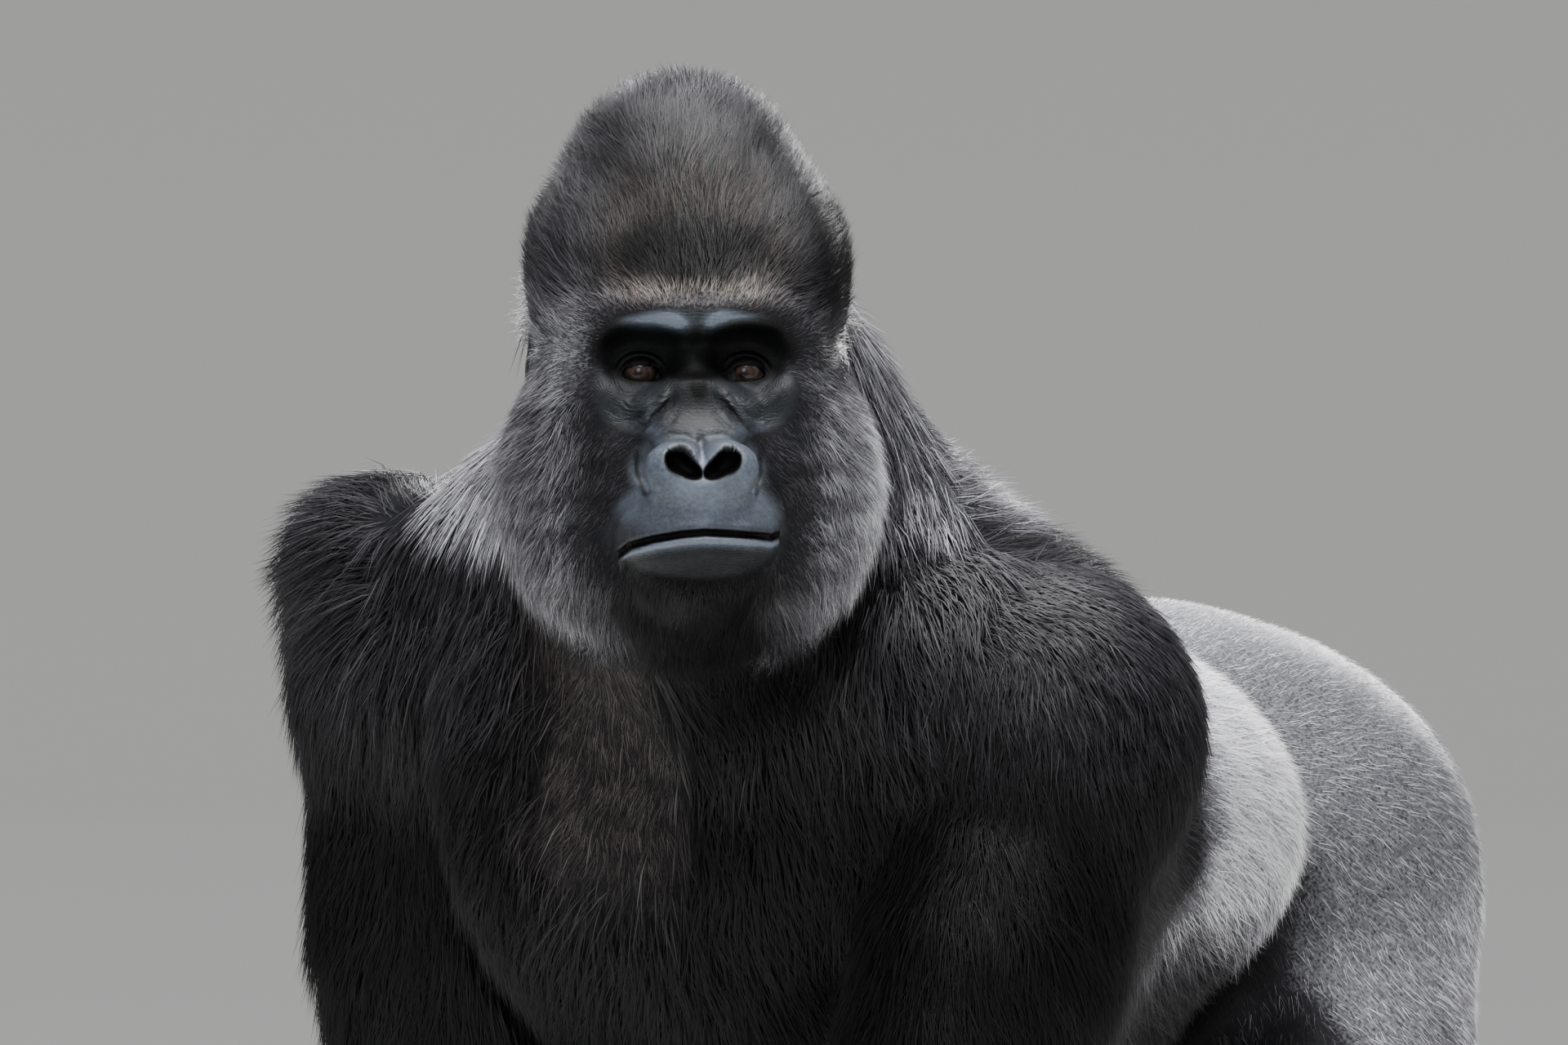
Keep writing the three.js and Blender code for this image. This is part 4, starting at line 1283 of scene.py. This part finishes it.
@dataclass
class Eyes:
    """The two eyeballs, looking a little to the animal's right."""

    animal: Animal
    gaze_side: float = -9.0  # degrees from straight ahead, negative to the animal's right
    gaze_up: float = -2.0
    bulge: float = 0.9  # how far the clear front stands out, in mm
    clear: float = 7.2  # radius of the clear front, in mm

    def build(self) -> list[bpy.types.Object]:
        """Builds both eyes in place of their nodes."""
        finish = EyeFinish().material()
        return [self.ball(side, finish) for side in Side]

    def ball(self, side: Side, finish: bpy.types.Material) -> bpy.types.Object:
        """One eyeball with its clear bulging front."""
        head = self.animal.head
        centre = self.animal.head_frame.outer(np.array([[side.value * head.eye_half_spacing, 0, 0]]))
        place = Vector(self.animal.to_frame(centre)[0])
        turn = math.radians(self.animal.head_turn + self.gaze_side)
        axis = Vector((math.sin(turn), -math.cos(turn), math.sin(math.radians(self.gaze_up)))).normalized()
        deselect()
        radius = head.eye_radius * MM
        bpy.ops.mesh.primitive_uv_sphere_add(segments=56, ring_count=40, radius=radius, location=place)
        piece = bpy.context.object
        piece.name = piece.data.name = "eyeball_" + side.word
        bpy.ops.object.transform_apply(location=True, rotation=False, scale=False)
        pole = Vector((0, 0, 1)).rotation_difference(axis).to_matrix().to_4x4()
        piece.data.transform(Matrix.Translation(place) @ pole @ Matrix.Translation(-place))
        away = (vertices_of(piece) - np.array(place)) / MM
        out = np.array(axis)
        right = unit(np.cross([0, 0, 1], out)[None])[0]
        local = np.stack([away @ out, away @ right, away @ np.cross(out, right)], 1)
        radial = np.hypot(local[:, 1], local[:, 2])
        swell = self.bulge * np.clip(1 - (radial / self.clear) ** 2, 0, 1) ** 2 * (local[:, 0] > 0)
        away += swell[:, None] * out
        set_vertices(piece, np.array(place) + away * MM)
        set_attribute(piece, "gaze", local, "FLOAT_VECTOR")
        bpy.ops.object.shade_smooth()
        piece.data.materials.append(finish)
        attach(piece, BODY)
        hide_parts("eye_" + side.word)
        return piece


@dataclass
class Nails:
    """Nails on the toes and thumbs: one plate, copied to each place."""

    """Nails on the toes and thumbs: one plate, copied to each place. Lengths are in mm."""

    animal: Animal
    length: float = 13.0
    width: float = 12.0
    thickness: float = 1.6

    def plate(self) -> bpy.types.Mesh:
        """A domed plate with rounded ends, lying along -Y with its root at the origin, in metres."""
        deselect()
        bpy.ops.mesh.primitive_grid_add(x_subdivisions=8, y_subdivisions=8, size=1.0, location=(0, 0, 0))
        piece = bpy.context.object
        points = vertices_of(piece)
        u, v = points[:, 0] * 2, points[:, 1] * 2
        narrow = 1 - 0.3 * ramp(np.abs(v), 0.4, 1.0)
        x = u * narrow * self.width / 2
        y = (v * np.sqrt(1 - 0.25 * u * u) - 1) * self.length / 2
        z = 2.6 * (1 - u * u) * (0.8 + 0.2 * v) - 1.4 * ramp(v, 0.2, -1)
        set_vertices(piece, np.stack([x, y, z], 1) * MM)
        solid = piece.modifiers.new("thickness", "SOLIDIFY")
        solid.thickness, solid.offset = self.thickness * MM, -1
        bpy.ops.object.modifier_apply(modifier=solid.name)
        mesh = piece.data
        bpy.data.objects.remove(piece)
        return mesh

    def places(self) -> list[tuple[str, Array, Array, float]]:
        """Name, root and direction of each nail, in the animal's frame, and its size."""
        found = []
        for side in Side:
            s, foot, hand = side.value, self.animal.foot_frames[side], self.animal.hand_frames[side]
            for slot in range(4):
                x, reach = toe_tip(side, slot)
                spot = ((x * 1.05, reach + 4, 22.2), (0, -1, -0.75), 0.85)
                found.append((f"toenail_{side.word}_{slot + 2}", foot, *spot))
            spot = ((s * -57.5, -76, 29.6), (s * -0.15, -1, -0.7), 1.2)
            found.append((f"toenail_{side.word}_1", foot, *spot))
            spot = ((s * -71, -17, 58), (s * -0.25, -0.5, -1), 0.8)
            found.append((f"thumbnail_{side.word}", hand, *spot))
        return [
            (name, place.outer(np.array([root]))[0], unit(place.direction(np.array([way])))[0], size)
            for name, place, root, way, size in found
        ]

    def build(self) -> list[bpy.types.Object]:
        """Builds every nail."""
        finish, plate, nails = NailFinish().material(), self.plate(), []
        for name, root, way, size in self.places():
            mesh = plate.copy()
            ahead = -Vector(way)
            right = ahead.cross(Vector((0, 0, 1))).normalized()
            if name.startswith("thumb"):
                right = Vector((0, -1, 0)) if "left" in name else Vector((0, 1, 0))
                right = (right - ahead * right.dot(ahead)).normalized()
            turn = Matrix((right, ahead, right.cross(ahead))).transposed().to_4x4()
            place = Matrix.Translation(Vector(self.animal.to_frame(root)))
            mesh.transform(place @ turn @ Matrix.Scale(size, 4))
            mesh.name = name
            piece = bpy.data.objects.new(name, mesh)
            bpy.context.scene.collection.objects.link(piece)
            only(piece)
            bpy.ops.object.shade_smooth()
            mesh.materials.append(finish)
            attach(piece, BODY)
            nails.append(piece)
        bpy.data.meshes.remove(plate)
        return nails


# ---------------------------------------------------------------- coat


class Shape(Enum):
    """The two shapes of a tuft, each with its triangles: a straight spike, or a lock that bends once."""

    SPIKE = ((0, 1, 3), (1, 2, 3), (2, 0, 3), (0, 2, 1))
    LOCK = ((0, 1, 3), (1, 2, 3), (2, 0, 3), (0, 2, 4), (2, 1, 4), (1, 0, 4))


@dataclass(frozen=True)
class Lie:
    """How the hair of one stretch of coat lies.

    flow gives the direction of the hair at each point, length its length in mm, and rise how far the root
    and the tip stand off the skin, in degrees. stray and swirl turn tufts aside, one by one and in patches,
    droop pulls the tips down, and weight says how dense the coat is at each point.
    """

    name: str
    parts: tuple[Part, ...]
    count: int
    flow: Field
    length: Field
    rise: tuple[float, float]
    width: float
    stray: float = 0.2
    swirl: float = 0.3
    weight: Field = lambda p: np.ones(len(p))
    shape: Shape = Shape.SPIKE
    droop: float = 0.0


def directions(x: Array | float, y: Array | float, z: Array | float) -> Array:
    """Directions in rows. Each term is a number or has one value for each row."""
    return np.stack(np.broadcast_arrays(x, y, z), 1)


def neck_flow(p: Array) -> Array:
    """Back and down from the head."""
    x, y, _ = p.T
    side = np.sign(x - 40) * ramp(np.abs(x - 40), 0, 90)
    return directions(0.5 * side, 0.8, -0.45 - 0.3 * ramp(y, -100, -220))


def neck_length(p: Array) -> Array:
    """Short on the nape, and longer towards the shoulders."""
    return 14 + 12 * ramp(p[:, 2], 940, 880) + 22 * ramp(p[:, 0], -50, -120)


def back_flow(p: Array) -> Array:
    """Back along the spine and down the flanks."""
    x, _, z = p.T
    low = ramp(z, 820, 620)
    return directions(0.45 * np.clip(x / 200, -1, 1), 0.9 - 0.35 * low, -0.12 - 0.75 * low)


def back_length(p: Array) -> Array:
    """Longer on the flanks, belly and shoulders, and short on the back and rump."""
    _, y, z = p.T
    belly = 16 * ramp(z, 650, 560) * ramp(y, 480, 420)
    return 24 + belly - 11 * ramp(y, 330, 520) - 3 * ramp(z, 720, 820) + 8 * ramp(y, 200, 60)


def chest_flow(p: Array) -> Array:
    """Down and outwards from the middle of the chest."""
    off = p[:, 0] - 6
    return directions(0.35 * np.sign(off) * ramp(np.abs(off), 0, 60), -0.1, -1)


def arm_flow(p: Array) -> Array:
    """Out from the neck over the shoulder, then down the arm; back and down on the forearm."""
    x, _, z = p.T
    top, fore = ramp(z, 800, 900), ramp(z, 520, 430)
    out = np.sign(x) * (0.1 + 0.8 * top)
    return directions(out, 0.12 + 0.25 * top + 0.55 * fore, -1 + 0.6 * top + 0.15 * fore)


def arm_length(p: Array) -> Array:
    """Long on the shoulder and behind the arm, short at the wrist."""
    x, _, z = p.T
    long = 44 + 12 * ramp(z, 700, 560) * ramp(z, 300, 420)
    long = long - np.where(x < 0, -8, 18) * ramp(z, 700, 860)
    return long * (0.3 + 0.7 * ramp(z, 130, 250))


def leg_flow(p: Array) -> Array:
    """Down and back."""
    return directions(0.1 * np.sign(p[:, 0]), 0.45, -0.9)


def leg_length(p: Array) -> Array:
    """Short on the thigh, longer down the shank, short at the ankle."""
    z = p[:, 2]
    return 13 + 19 * ramp(z, 520, 330) - 18 * ramp(z, 200, 110)


def toward(x: float, y: float, z: float) -> Field:
    """One direction for a whole stretch."""
    return lambda p: np.tile([x, y, z], (len(p), 1))


def constant(value: float) -> Field:
    """The same number everywhere."""
    return lambda p: np.full(len(p), value)


def behind(p: Array) -> Array:
    """1 behind the front of the chest and throat, and 0 on it."""
    return (p[:, 1] >= -70).astype(float)


@dataclass
class Surface:
    """The skin's triangles, in the animal's millimetres, for growing hair on."""

    corners: Array
    area: Array
    middle: Array
    part: Array
    fur: Array

    @classmethod
    def of(cls, piece: bpy.types.Object, animal: Animal, markings: Markings) -> "Surface":
        """Reads the finished skin."""
        mesh = piece.data
        mesh.calc_loop_triangles()
        index = np.empty(len(mesh.loop_triangles) * 3, np.int32)
        mesh.loop_triangles.foreach_get("vertices", index)
        points = vertices_of(piece) / MM - animal.shift
        corners = points[index.reshape(-1, 3)]
        middle = corners.mean(1)
        cross = np.cross(corners[:, 1] - corners[:, 0], corners[:, 2] - corners[:, 0])
        part = animal.nearest_part(middle)
        return cls(corners, np.linalg.norm(cross, axis=1) / 2, middle, part, markings.fur(middle, part))

    def roots(self, lie: Lie, count: int, rng: np.random.Generator) -> tuple[Array, Array]:
        """Picks the places of tufts.

        Args:
            lie: The stretch of coat.
            count: How many tufts to place.
            rng: The source of chance.

        Returns:
            The roots, and the number of the triangle under each.
        """
        share = self.area * np.isin(self.part, lie.parts) * self.fur
        total = np.cumsum(share * lie.weight(self.middle))
        picks = (np.arange(count) + rng.random(count)) / count * total[-1]
        face = np.minimum(np.searchsorted(total, picks), len(total) - 1)
        a, b = rng.random((2, count))
        flip = a + b > 1
        a, b = np.where(flip, 1 - a, a), np.where(flip, 1 - b, b)
        corners = self.corners[face]
        edge_a, edge_b = corners[:, 1] - corners[:, 0], corners[:, 2] - corners[:, 0]
        return corners[:, 0] + a[:, None] * edge_a + b[:, None] * edge_b, face


@dataclass
class Coat:
    """All the hair, as joined meshes of closed tufts. Lengths are in mm."""

    animal: Animal
    markings: Markings
    surface: Surface
    patch: float = 0.003  # width of a tuft's place on the bake map
    depth: float = 0.8  # how far a tuft's root lies under the skin
    flat: float = 0.6  # a tuft's thickness, as a share of its width
    bend: float = 0.42  # where a lock bends, as a share of its length
    whole: float = 16.0  # shorter tufts than this are narrower too
    shaded: float = 0.42  # how far a tuft's shading follows its own shape, not the body's
    least: float = 1.5  # no tuft comes nearer to the floor than this

    def head_flow(self, p: Array) -> Array:
        """Up and back over the crown, outwards and down over the cheeks."""
        x, y, z = self.animal.head_frame.local(p).T
        low, rear = ramp(z, 36, -30)[:, None], ramp(y, 70, 130)[:, None]
        out = unit(directions(x, 20, z + 8))
        down = directions(0.26 * np.sign(x) * ramp(np.abs(x), 0, 40), 0.25, -1)
        back = directions(0.1 * x / 60, 1, 0.15 - 0.9 * ramp(y, 110, 190))
        crown = out + back * ramp(z, 60, 120)[:, None] * 1.1
        way = crown * (1 - low) + (0.3 * out + down) * low
        return self.animal.head_frame.direction(way * (1 - rear) + back * rear)

    def head_length(self, p: Array) -> Array:
        """Short at the bare face, longer on the crown, longest at the beard and nape."""
        local = self.animal.head_frame.local(p)
        x, y, z = local.T
        side, edge = np.abs(x), self.markings.bare_face(local)
        forehead = ramp(z, 28, 46) * ramp(z, 130, 84) * ramp(side, 84, 60)
        beard = 24 * ramp(z, -100, -165) + 8 * ramp(y, 60, 150)
        beard += 15 * ramp(side, 66, 94) * bell(z - 34, 44) * ramp(y, 20, 70)
        beard -= 4 * ramp(side, 96, 74) * ramp(z, 10, -20) * ramp(z, -120, -90)
        full = (15.5 + beard) * ramp(edge, 0, 46) * (1 - 0.45 * forehead)
        return 3.2 + 3.4 * ramp(edge, -9, 0) + full

    def head_front(self, p: Array) -> Array:
        """The front of the head, densest at the face and over the brow."""
        _, y, z = self.animal.head_frame.local(p).T
        return (y < 62) * (1 + 0.8 * ramp(y, 60, 0) + 1.1 * bell(z - 52, 12) * ramp(y, 30, 0))

    def head_back(self, p: Array) -> Array:
        """The rest of the head."""
        return (self.animal.head_frame.local(p)[:, 1] >= 62).astype(float)

    def beside(self, p: Array) -> Array:
        """The long black hair of the chest and throat, beside the thinly haired middle."""
        return (1 - behind(p)) * (1 - 0.97 * self.markings.chest(p))

    def lies(self) -> list[Lie]:
        """Every stretch of the coat."""
        head, neck, body = (Part.HEAD,), (Part.NECK,), (Part.TRUNK,)
        front, flow, length = body + neck, self.head_flow, self.head_length
        chest = self.markings.chest
        locks = {"weight": self.beside, "shape": Shape.LOCK, "droop": 0.2}

        def flank(left: bool) -> Field:
            """One side of the trunk behind the chest, thinner below."""
            return lambda p: behind(p) * ((p[:, 0] > 0) == left) * (0.5 + 0.5 * ramp(p[:, 2], 500, 620))

        found = [
            Lie("coat_face", head, 49500, flow, length, (24, 12), 0.76, weight=self.head_front),
            Lie("coat_crown", head, 37000, flow, length, (32, 17), 0.9, weight=self.head_back),
            Lie("coat_neck", neck, 26000, neck_flow, neck_length, (22, 12), 0.8, 0.28, 0.2, behind),
            Lie("coat_chest", front, 16000, chest_flow, constant(14.0), (14, 7), 0.8, weight=chest),
            Lie("coat_breast", front, 20000, chest_flow, constant(44.0), (24, 10), 1.1, **locks),
        ]
        elbow, hair = 560, (arm_flow, arm_length)
        upper = {"swirl": 0.2, "weight": lambda p: p[:, 2] > elbow, "shape": Shape.LOCK, "droop": 0.25}
        lower = {"weight": lambda p: p[:, 2] <= elbow, "shape": Shape.LOCK, "droop": 0.35}
        arms = ((Side.LEFT, 25500, (20, 9), 0.95), (Side.RIGHT, 23500, (22, 10), 1.0))
        for side, count, rise, width in arms:
            name, arm = "coat_arm_" + side.word, (part_of("ARM", side),)
            found.append(Lie(name + "_upper", arm, count, *hair, rise, width, **upper))
            found.append(Lie(name + "_lower", arm, 8500, *hair, (30, 14), 1.5, **lower))
        fine, coarse = (0.24, 0.18), (0.16, 0.14)
        back, leg = (back_flow, back_length), (leg_flow, leg_length)
        hands, feet = ((part_of(kind, Side.LEFT), part_of(kind, Side.RIGHT)) for kind in ("HAND", "FOOT"))
        return found + [
            Lie("coat_back_left", body, 45000, *back, (22, 13), 0.72, *fine, flank(True)),
            Lie("coat_back_right", body, 24000, *back, (18, 10), 1.2, *coarse, flank(False)),
            Lie("coat_leg_left", (Part.LEG_LEFT,), 28000, *leg, (22, 13), 0.8, *fine),
            Lie("coat_leg_right", (Part.LEG_RIGHT,), 15000, *leg, (18, 10), 1.3, *coarse),
            Lie("coat_hands", hands, 2400, toward(0, 0.35, -1), constant(13.0), (24, 10), 1.1),
            Lie("coat_feet", feet, 2400, toward(0, -0.7, -0.6), constant(12.0), (22, 10), 1.1),
        ]

    def unwrap(self, lie: Lie, roots: Array) -> Array:
        """Places each root on a cylinder round its part, as (u, v) between 0 and 1."""
        x, y, z = roots.T
        if Part.HEAD in lie.parts:
            x, y, z = self.animal.head_frame.local(roots).T
            turn, along = np.arctan2(x, 70 - y), z
        elif Part.TRUNK in lie.parts:
            turn, along = np.arctan2(x, z - 700), y
        else:
            turn, along = np.arctan2(x - np.median(x), np.median(y) - y), z
        u = (turn + math.pi) / (2 * math.pi)
        v = (along - along.min()) / max(float(np.ptp(along)), 1e-6)
        return np.clip(np.stack([u, v], 1), 0, 1 - self.patch) * (1 - self.patch)

    def tufts(
        self, lie: Lie, roots: Array, normal: Array, seed: int, rng: np.random.Generator
    ) -> list[tuple[Array, Array, float]]:
        """Shapes the tufts.

        Args:
            lie: How the hair lies.
            roots: Each tuft's place on the skin.
            normal: The skin's normal at each root.
            seed: Chooses the swirls.
            rng: The source of chance.

        Returns:
            For each corner of a tuft, its places, its ways outwards, and how near the tip it is.
        """
        count = len(roots)
        flow = lie.flow(roots)
        flow = unit(flow - (flow * normal).sum(1, keepdims=True) * normal)
        stray = rng.normal(0, lie.stray, (count, 1)) + lie.swirl * ripple(roots, 45, seed)[:, None]
        flow = unit(flow + stray * np.cross(normal, flow))
        across = np.cross(normal, flow)
        length = (lie.length(roots) * rng.uniform(0.7, 1.25, count))[:, None]
        lift = rng.normal(0, 4, (count, 1))
        angles = [np.radians(rise + lift) for rise in lie.rise]
        base, end = (flow * np.cos(angle) + normal * np.sin(angle) for angle in angles)
        base, end = unit(base), unit(end - np.array([0, 0, lie.droop]))
        root = roots - normal * self.depth
        width = (lie.width * rng.uniform(0.75, 1.3, count))[:, None] / 2
        width = width * np.clip(length / self.whole, 0.4, 1)
        ring, tip, level = root, root + unit(base + end) * length, 0.0
        if lie.shape is Shape.LOCK:
            ring = root + base * length * self.bend
            tip, level = ring + end * length * (1 - self.bend), 0.4
        corners = []
        for turn in map(math.radians, (90, 210, 330)):
            side = across * math.cos(turn) + normal * math.sin(turn) * self.flat
            corners.append((ring + width * side, side, level))
        corners.append((tip, end, 1.0))
        if lie.shape is Shape.LOCK:
            corners.append((root, -base, 0.0))
        return corners

    def grow(self, lie: Lie, seed: int, finish: bpy.types.Material) -> bpy.types.Object:
        """Grows one stretch of coat.

        Args:
            lie: How the hair lies.
            seed: Chooses the tufts.
            finish: The coat's material.

        Returns:
            The joined mesh.
        """
        rng = np.random.default_rng(seed)
        count = lie.count
        roots, face = self.surface.roots(lie, count, rng)
        normal = unit(self.animal.slope(roots, 3.0)[1])
        corners, outward, levels = zip(*self.tufts(lie, roots, normal, seed, rng))
        each = len(corners)
        points = np.stack(corners, 1).reshape(-1, 3)
        points[:, 2] = np.maximum(points[:, 2], self.least)
        faces = (np.array(lie.shape.value)[None] + (np.arange(count) * each)[:, None, None]).reshape(-1, 3)
        piece = new_piece(lie.name, self.animal.to_frame(points), faces)
        soft = unit(np.stack(outward, 1) * self.shaded + normal[:, None]).reshape(-1, 3)
        piece.data.normals_split_custom_set_from_vertices(soft.tolist())
        set_attribute(piece, "coat", self.tones(roots, self.surface.part[face], levels, rng))
        self.map(piece, self.unwrap(lie, roots), faces, levels)
        piece.data.materials.append(finish)
        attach(piece, BODY)
        return piece

    def tones(self, roots: Array, part: Array, levels: Sequence[float], rng: np.random.Generator) -> Array:
        """Each corner's tone, place from root to tip, chance and brown."""
        count = len(roots)
        chance = rng.normal(0.5, 0.26, count) + 0.12 * ripple(roots, 22, 77) + 0.1 * ripple(roots, 9, 31)
        crown = (part == Part.HEAD) * ramp(self.animal.head_frame.local(roots)[:, 2], 40, 90)
        chance = np.clip(0.5 + (chance - 0.5) * (1 + 0.7 * crown), 0, 1)
        tone, brown = self.markings.silver(roots, part), self.markings.brown(roots, part)
        columns = (tone[:, None], np.array(levels)[None], chance[:, None], brown[:, None])
        return np.stack(np.broadcast_arrays(*columns), -1).reshape(-1, 4)

    def map(self, piece: bpy.types.Object, spots: Array, faces: Array, levels: Sequence[float]) -> None:
        """Gives each tuft its own small patch of the bake map."""
        layer = piece.data.uv_layers.new(name="OFBake")
        patch = np.stack([[0.0, 0.5, 1.0, 0.5, 0.5][: len(levels)], levels], 1) * self.patch
        tuft, corner = np.divmod(faces.reshape(-1), len(levels))
        layer.data.foreach_set("uv", (spots[tuft] + patch[corner]).astype(np.float32).ravel())

    def build(self) -> None:
        """Grows every stretch of coat."""
        finish = HairFinish().material()
        for seed, lie in enumerate(self.lies(), start=100):
            piece = self.grow(lie, seed, finish)
            LOG.info("%s: %d triangles", lie.name, len(piece.data.polygons))


# ---------------------------------------------------------------- studio


@dataclass
class Studio:
    """The floor, the light and the camera. Lengths are in metres."""

    animal: Animal
    azimuth: float = 25.0
    distance: float = 7.0
    sensor: float = 36.0  # the camera's, in mm
    frame_width: float = 1.0418  # across the picture at the eyes' distance
    aim_right: float = 0.0605  # picture's middle from the point between the eyes
    aim_down: float = 0.099
    flat_radius: float = 26.0
    sweep_radius: float = 8.0
    sweep_angle: float = 80.0  # how steep the floor's edge becomes, in degrees
    sweep_steps: int = 14

    def build(self) -> None:
        """Makes the studio."""
        eyes = Vector(self.animal.to_frame(np.array([self.animal.head_place]))[0])
        turn = math.radians(self.azimuth)
        right = Vector((math.cos(turn), math.sin(turn), 0))
        ahead = Vector((-math.sin(turn), math.cos(turn), 0))
        aim = eyes + right * self.aim_right - Vector((0, 0, self.aim_down))
        data = bpy.data.cameras.new("camera")
        data.sensor_width = self.sensor
        data.lens = self.sensor * self.distance / self.frame_width
        data.clip_end = 200.0
        bpy.context.scene.camera = self.put("camera", data, aim - ahead * self.distance, aim)
        self.floor()
        self.lights(aim, right, ahead)

    def put(self, name: str, data: bpy.types.ID, place: Vector, aim: Vector) -> bpy.types.Object:
        """Adds a camera or a lamp at place that looks at aim."""
        thing = bpy.data.objects.new(name, data)
        thing.location = place
        thing.rotation_euler = (aim - place).to_track_quat("-Z", "Y").to_euler()
        bpy.context.scene.collection.objects.link(thing)
        return thing

    def floor(self) -> None:
        """A wide pale floor whose edge sweeps up all round."""
        deselect()
        flat = {"radius": self.flat_radius, "location": (0, 0, -0.0005)}
        bpy.ops.mesh.primitive_circle_add(vertices=96, fill_type="NGON", **flat)
        floor = bpy.context.object
        floor.name = "floor"
        bpy.ops.object.mode_set(mode="EDIT")
        bpy.ops.mesh.select_mode(type="EDGE")
        bpy.ops.mesh.select_all(action="SELECT")
        step = math.radians(self.sweep_angle) / self.sweep_steps
        run = step * self.sweep_radius
        for i in range(self.sweep_steps):
            rise = run * math.sin(step * (i + 0.5))
            out = self.flat_radius + self.sweep_radius * math.sin(step * i)
            wider = (out + run * math.cos(step * (i + 0.5))) / out
            bpy.ops.mesh.extrude_edges_move(TRANSFORM_OT_translate={"value": (0, 0, rise)})
            bpy.ops.transform.resize(value=(wider, wider, 1.0), center_override=(0, 0, 0))
        bpy.ops.object.mode_set(mode="OBJECT")
        bpy.ops.object.shade_smooth()
        floor.data.materials.append(FloorFinish().material())

    def lights(self, aim: Vector, right: Vector, ahead: Vector) -> None:
        """Soft light from above, a weak front fill, and a light on each side behind for the edges."""
        up = Vector((0, 0, 1))
        lamps = (
            ("overhead", up * 2.6 - ahead * 0.15 + right * 0.25, 2.6, 255),
            ("front", up * 2.3 - ahead * 3.0 - right * 0.6, 2.2, 60),
            ("rim_right", up * 0.75 + ahead * 4.0 + right * 1.3, 1.1, 175),
            ("rim_left", up * 1.0 + ahead * 4.0 - right * 1.15, 0.9, 80),
        )
        for name, offset, size, watts in lamps:
            data = bpy.data.lights.new(name, "AREA")
            data.shape, data.size, data.energy = "DISK", size, watts
            self.put(name, data, aim + offset, aim)
        world = bpy.data.worlds.new("pale_room")
        world.use_nodes = True
        sky = world.node_tree.nodes["Background"]
        sky.inputs["Color"].default_value = linear("#e6e7e8")
        sky.inputs["Strength"].default_value = 0.75
        bpy.context.scene.world = world


def main() -> None:
    """Builds everything in order."""
    logging.basicConfig(level=logging.INFO, format="%(message)s")
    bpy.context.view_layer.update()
    animal = Animal()
    markings = Markings(animal)
    Studio(animal).build()
    skin = Skin(animal, markings).build()
    LOG.info("skin: %d faces", len(skin.data.polygons))
    for piece in (*Eyes(animal).build(), *Nails(animal).build()):
        LOG.info("%s: %d faces", piece.name, len(piece.data.polygons))
    surface = Surface.of(skin, animal, markings)
    Coat(animal, markings, surface).build()


if __name__ == "__main__":
    main()
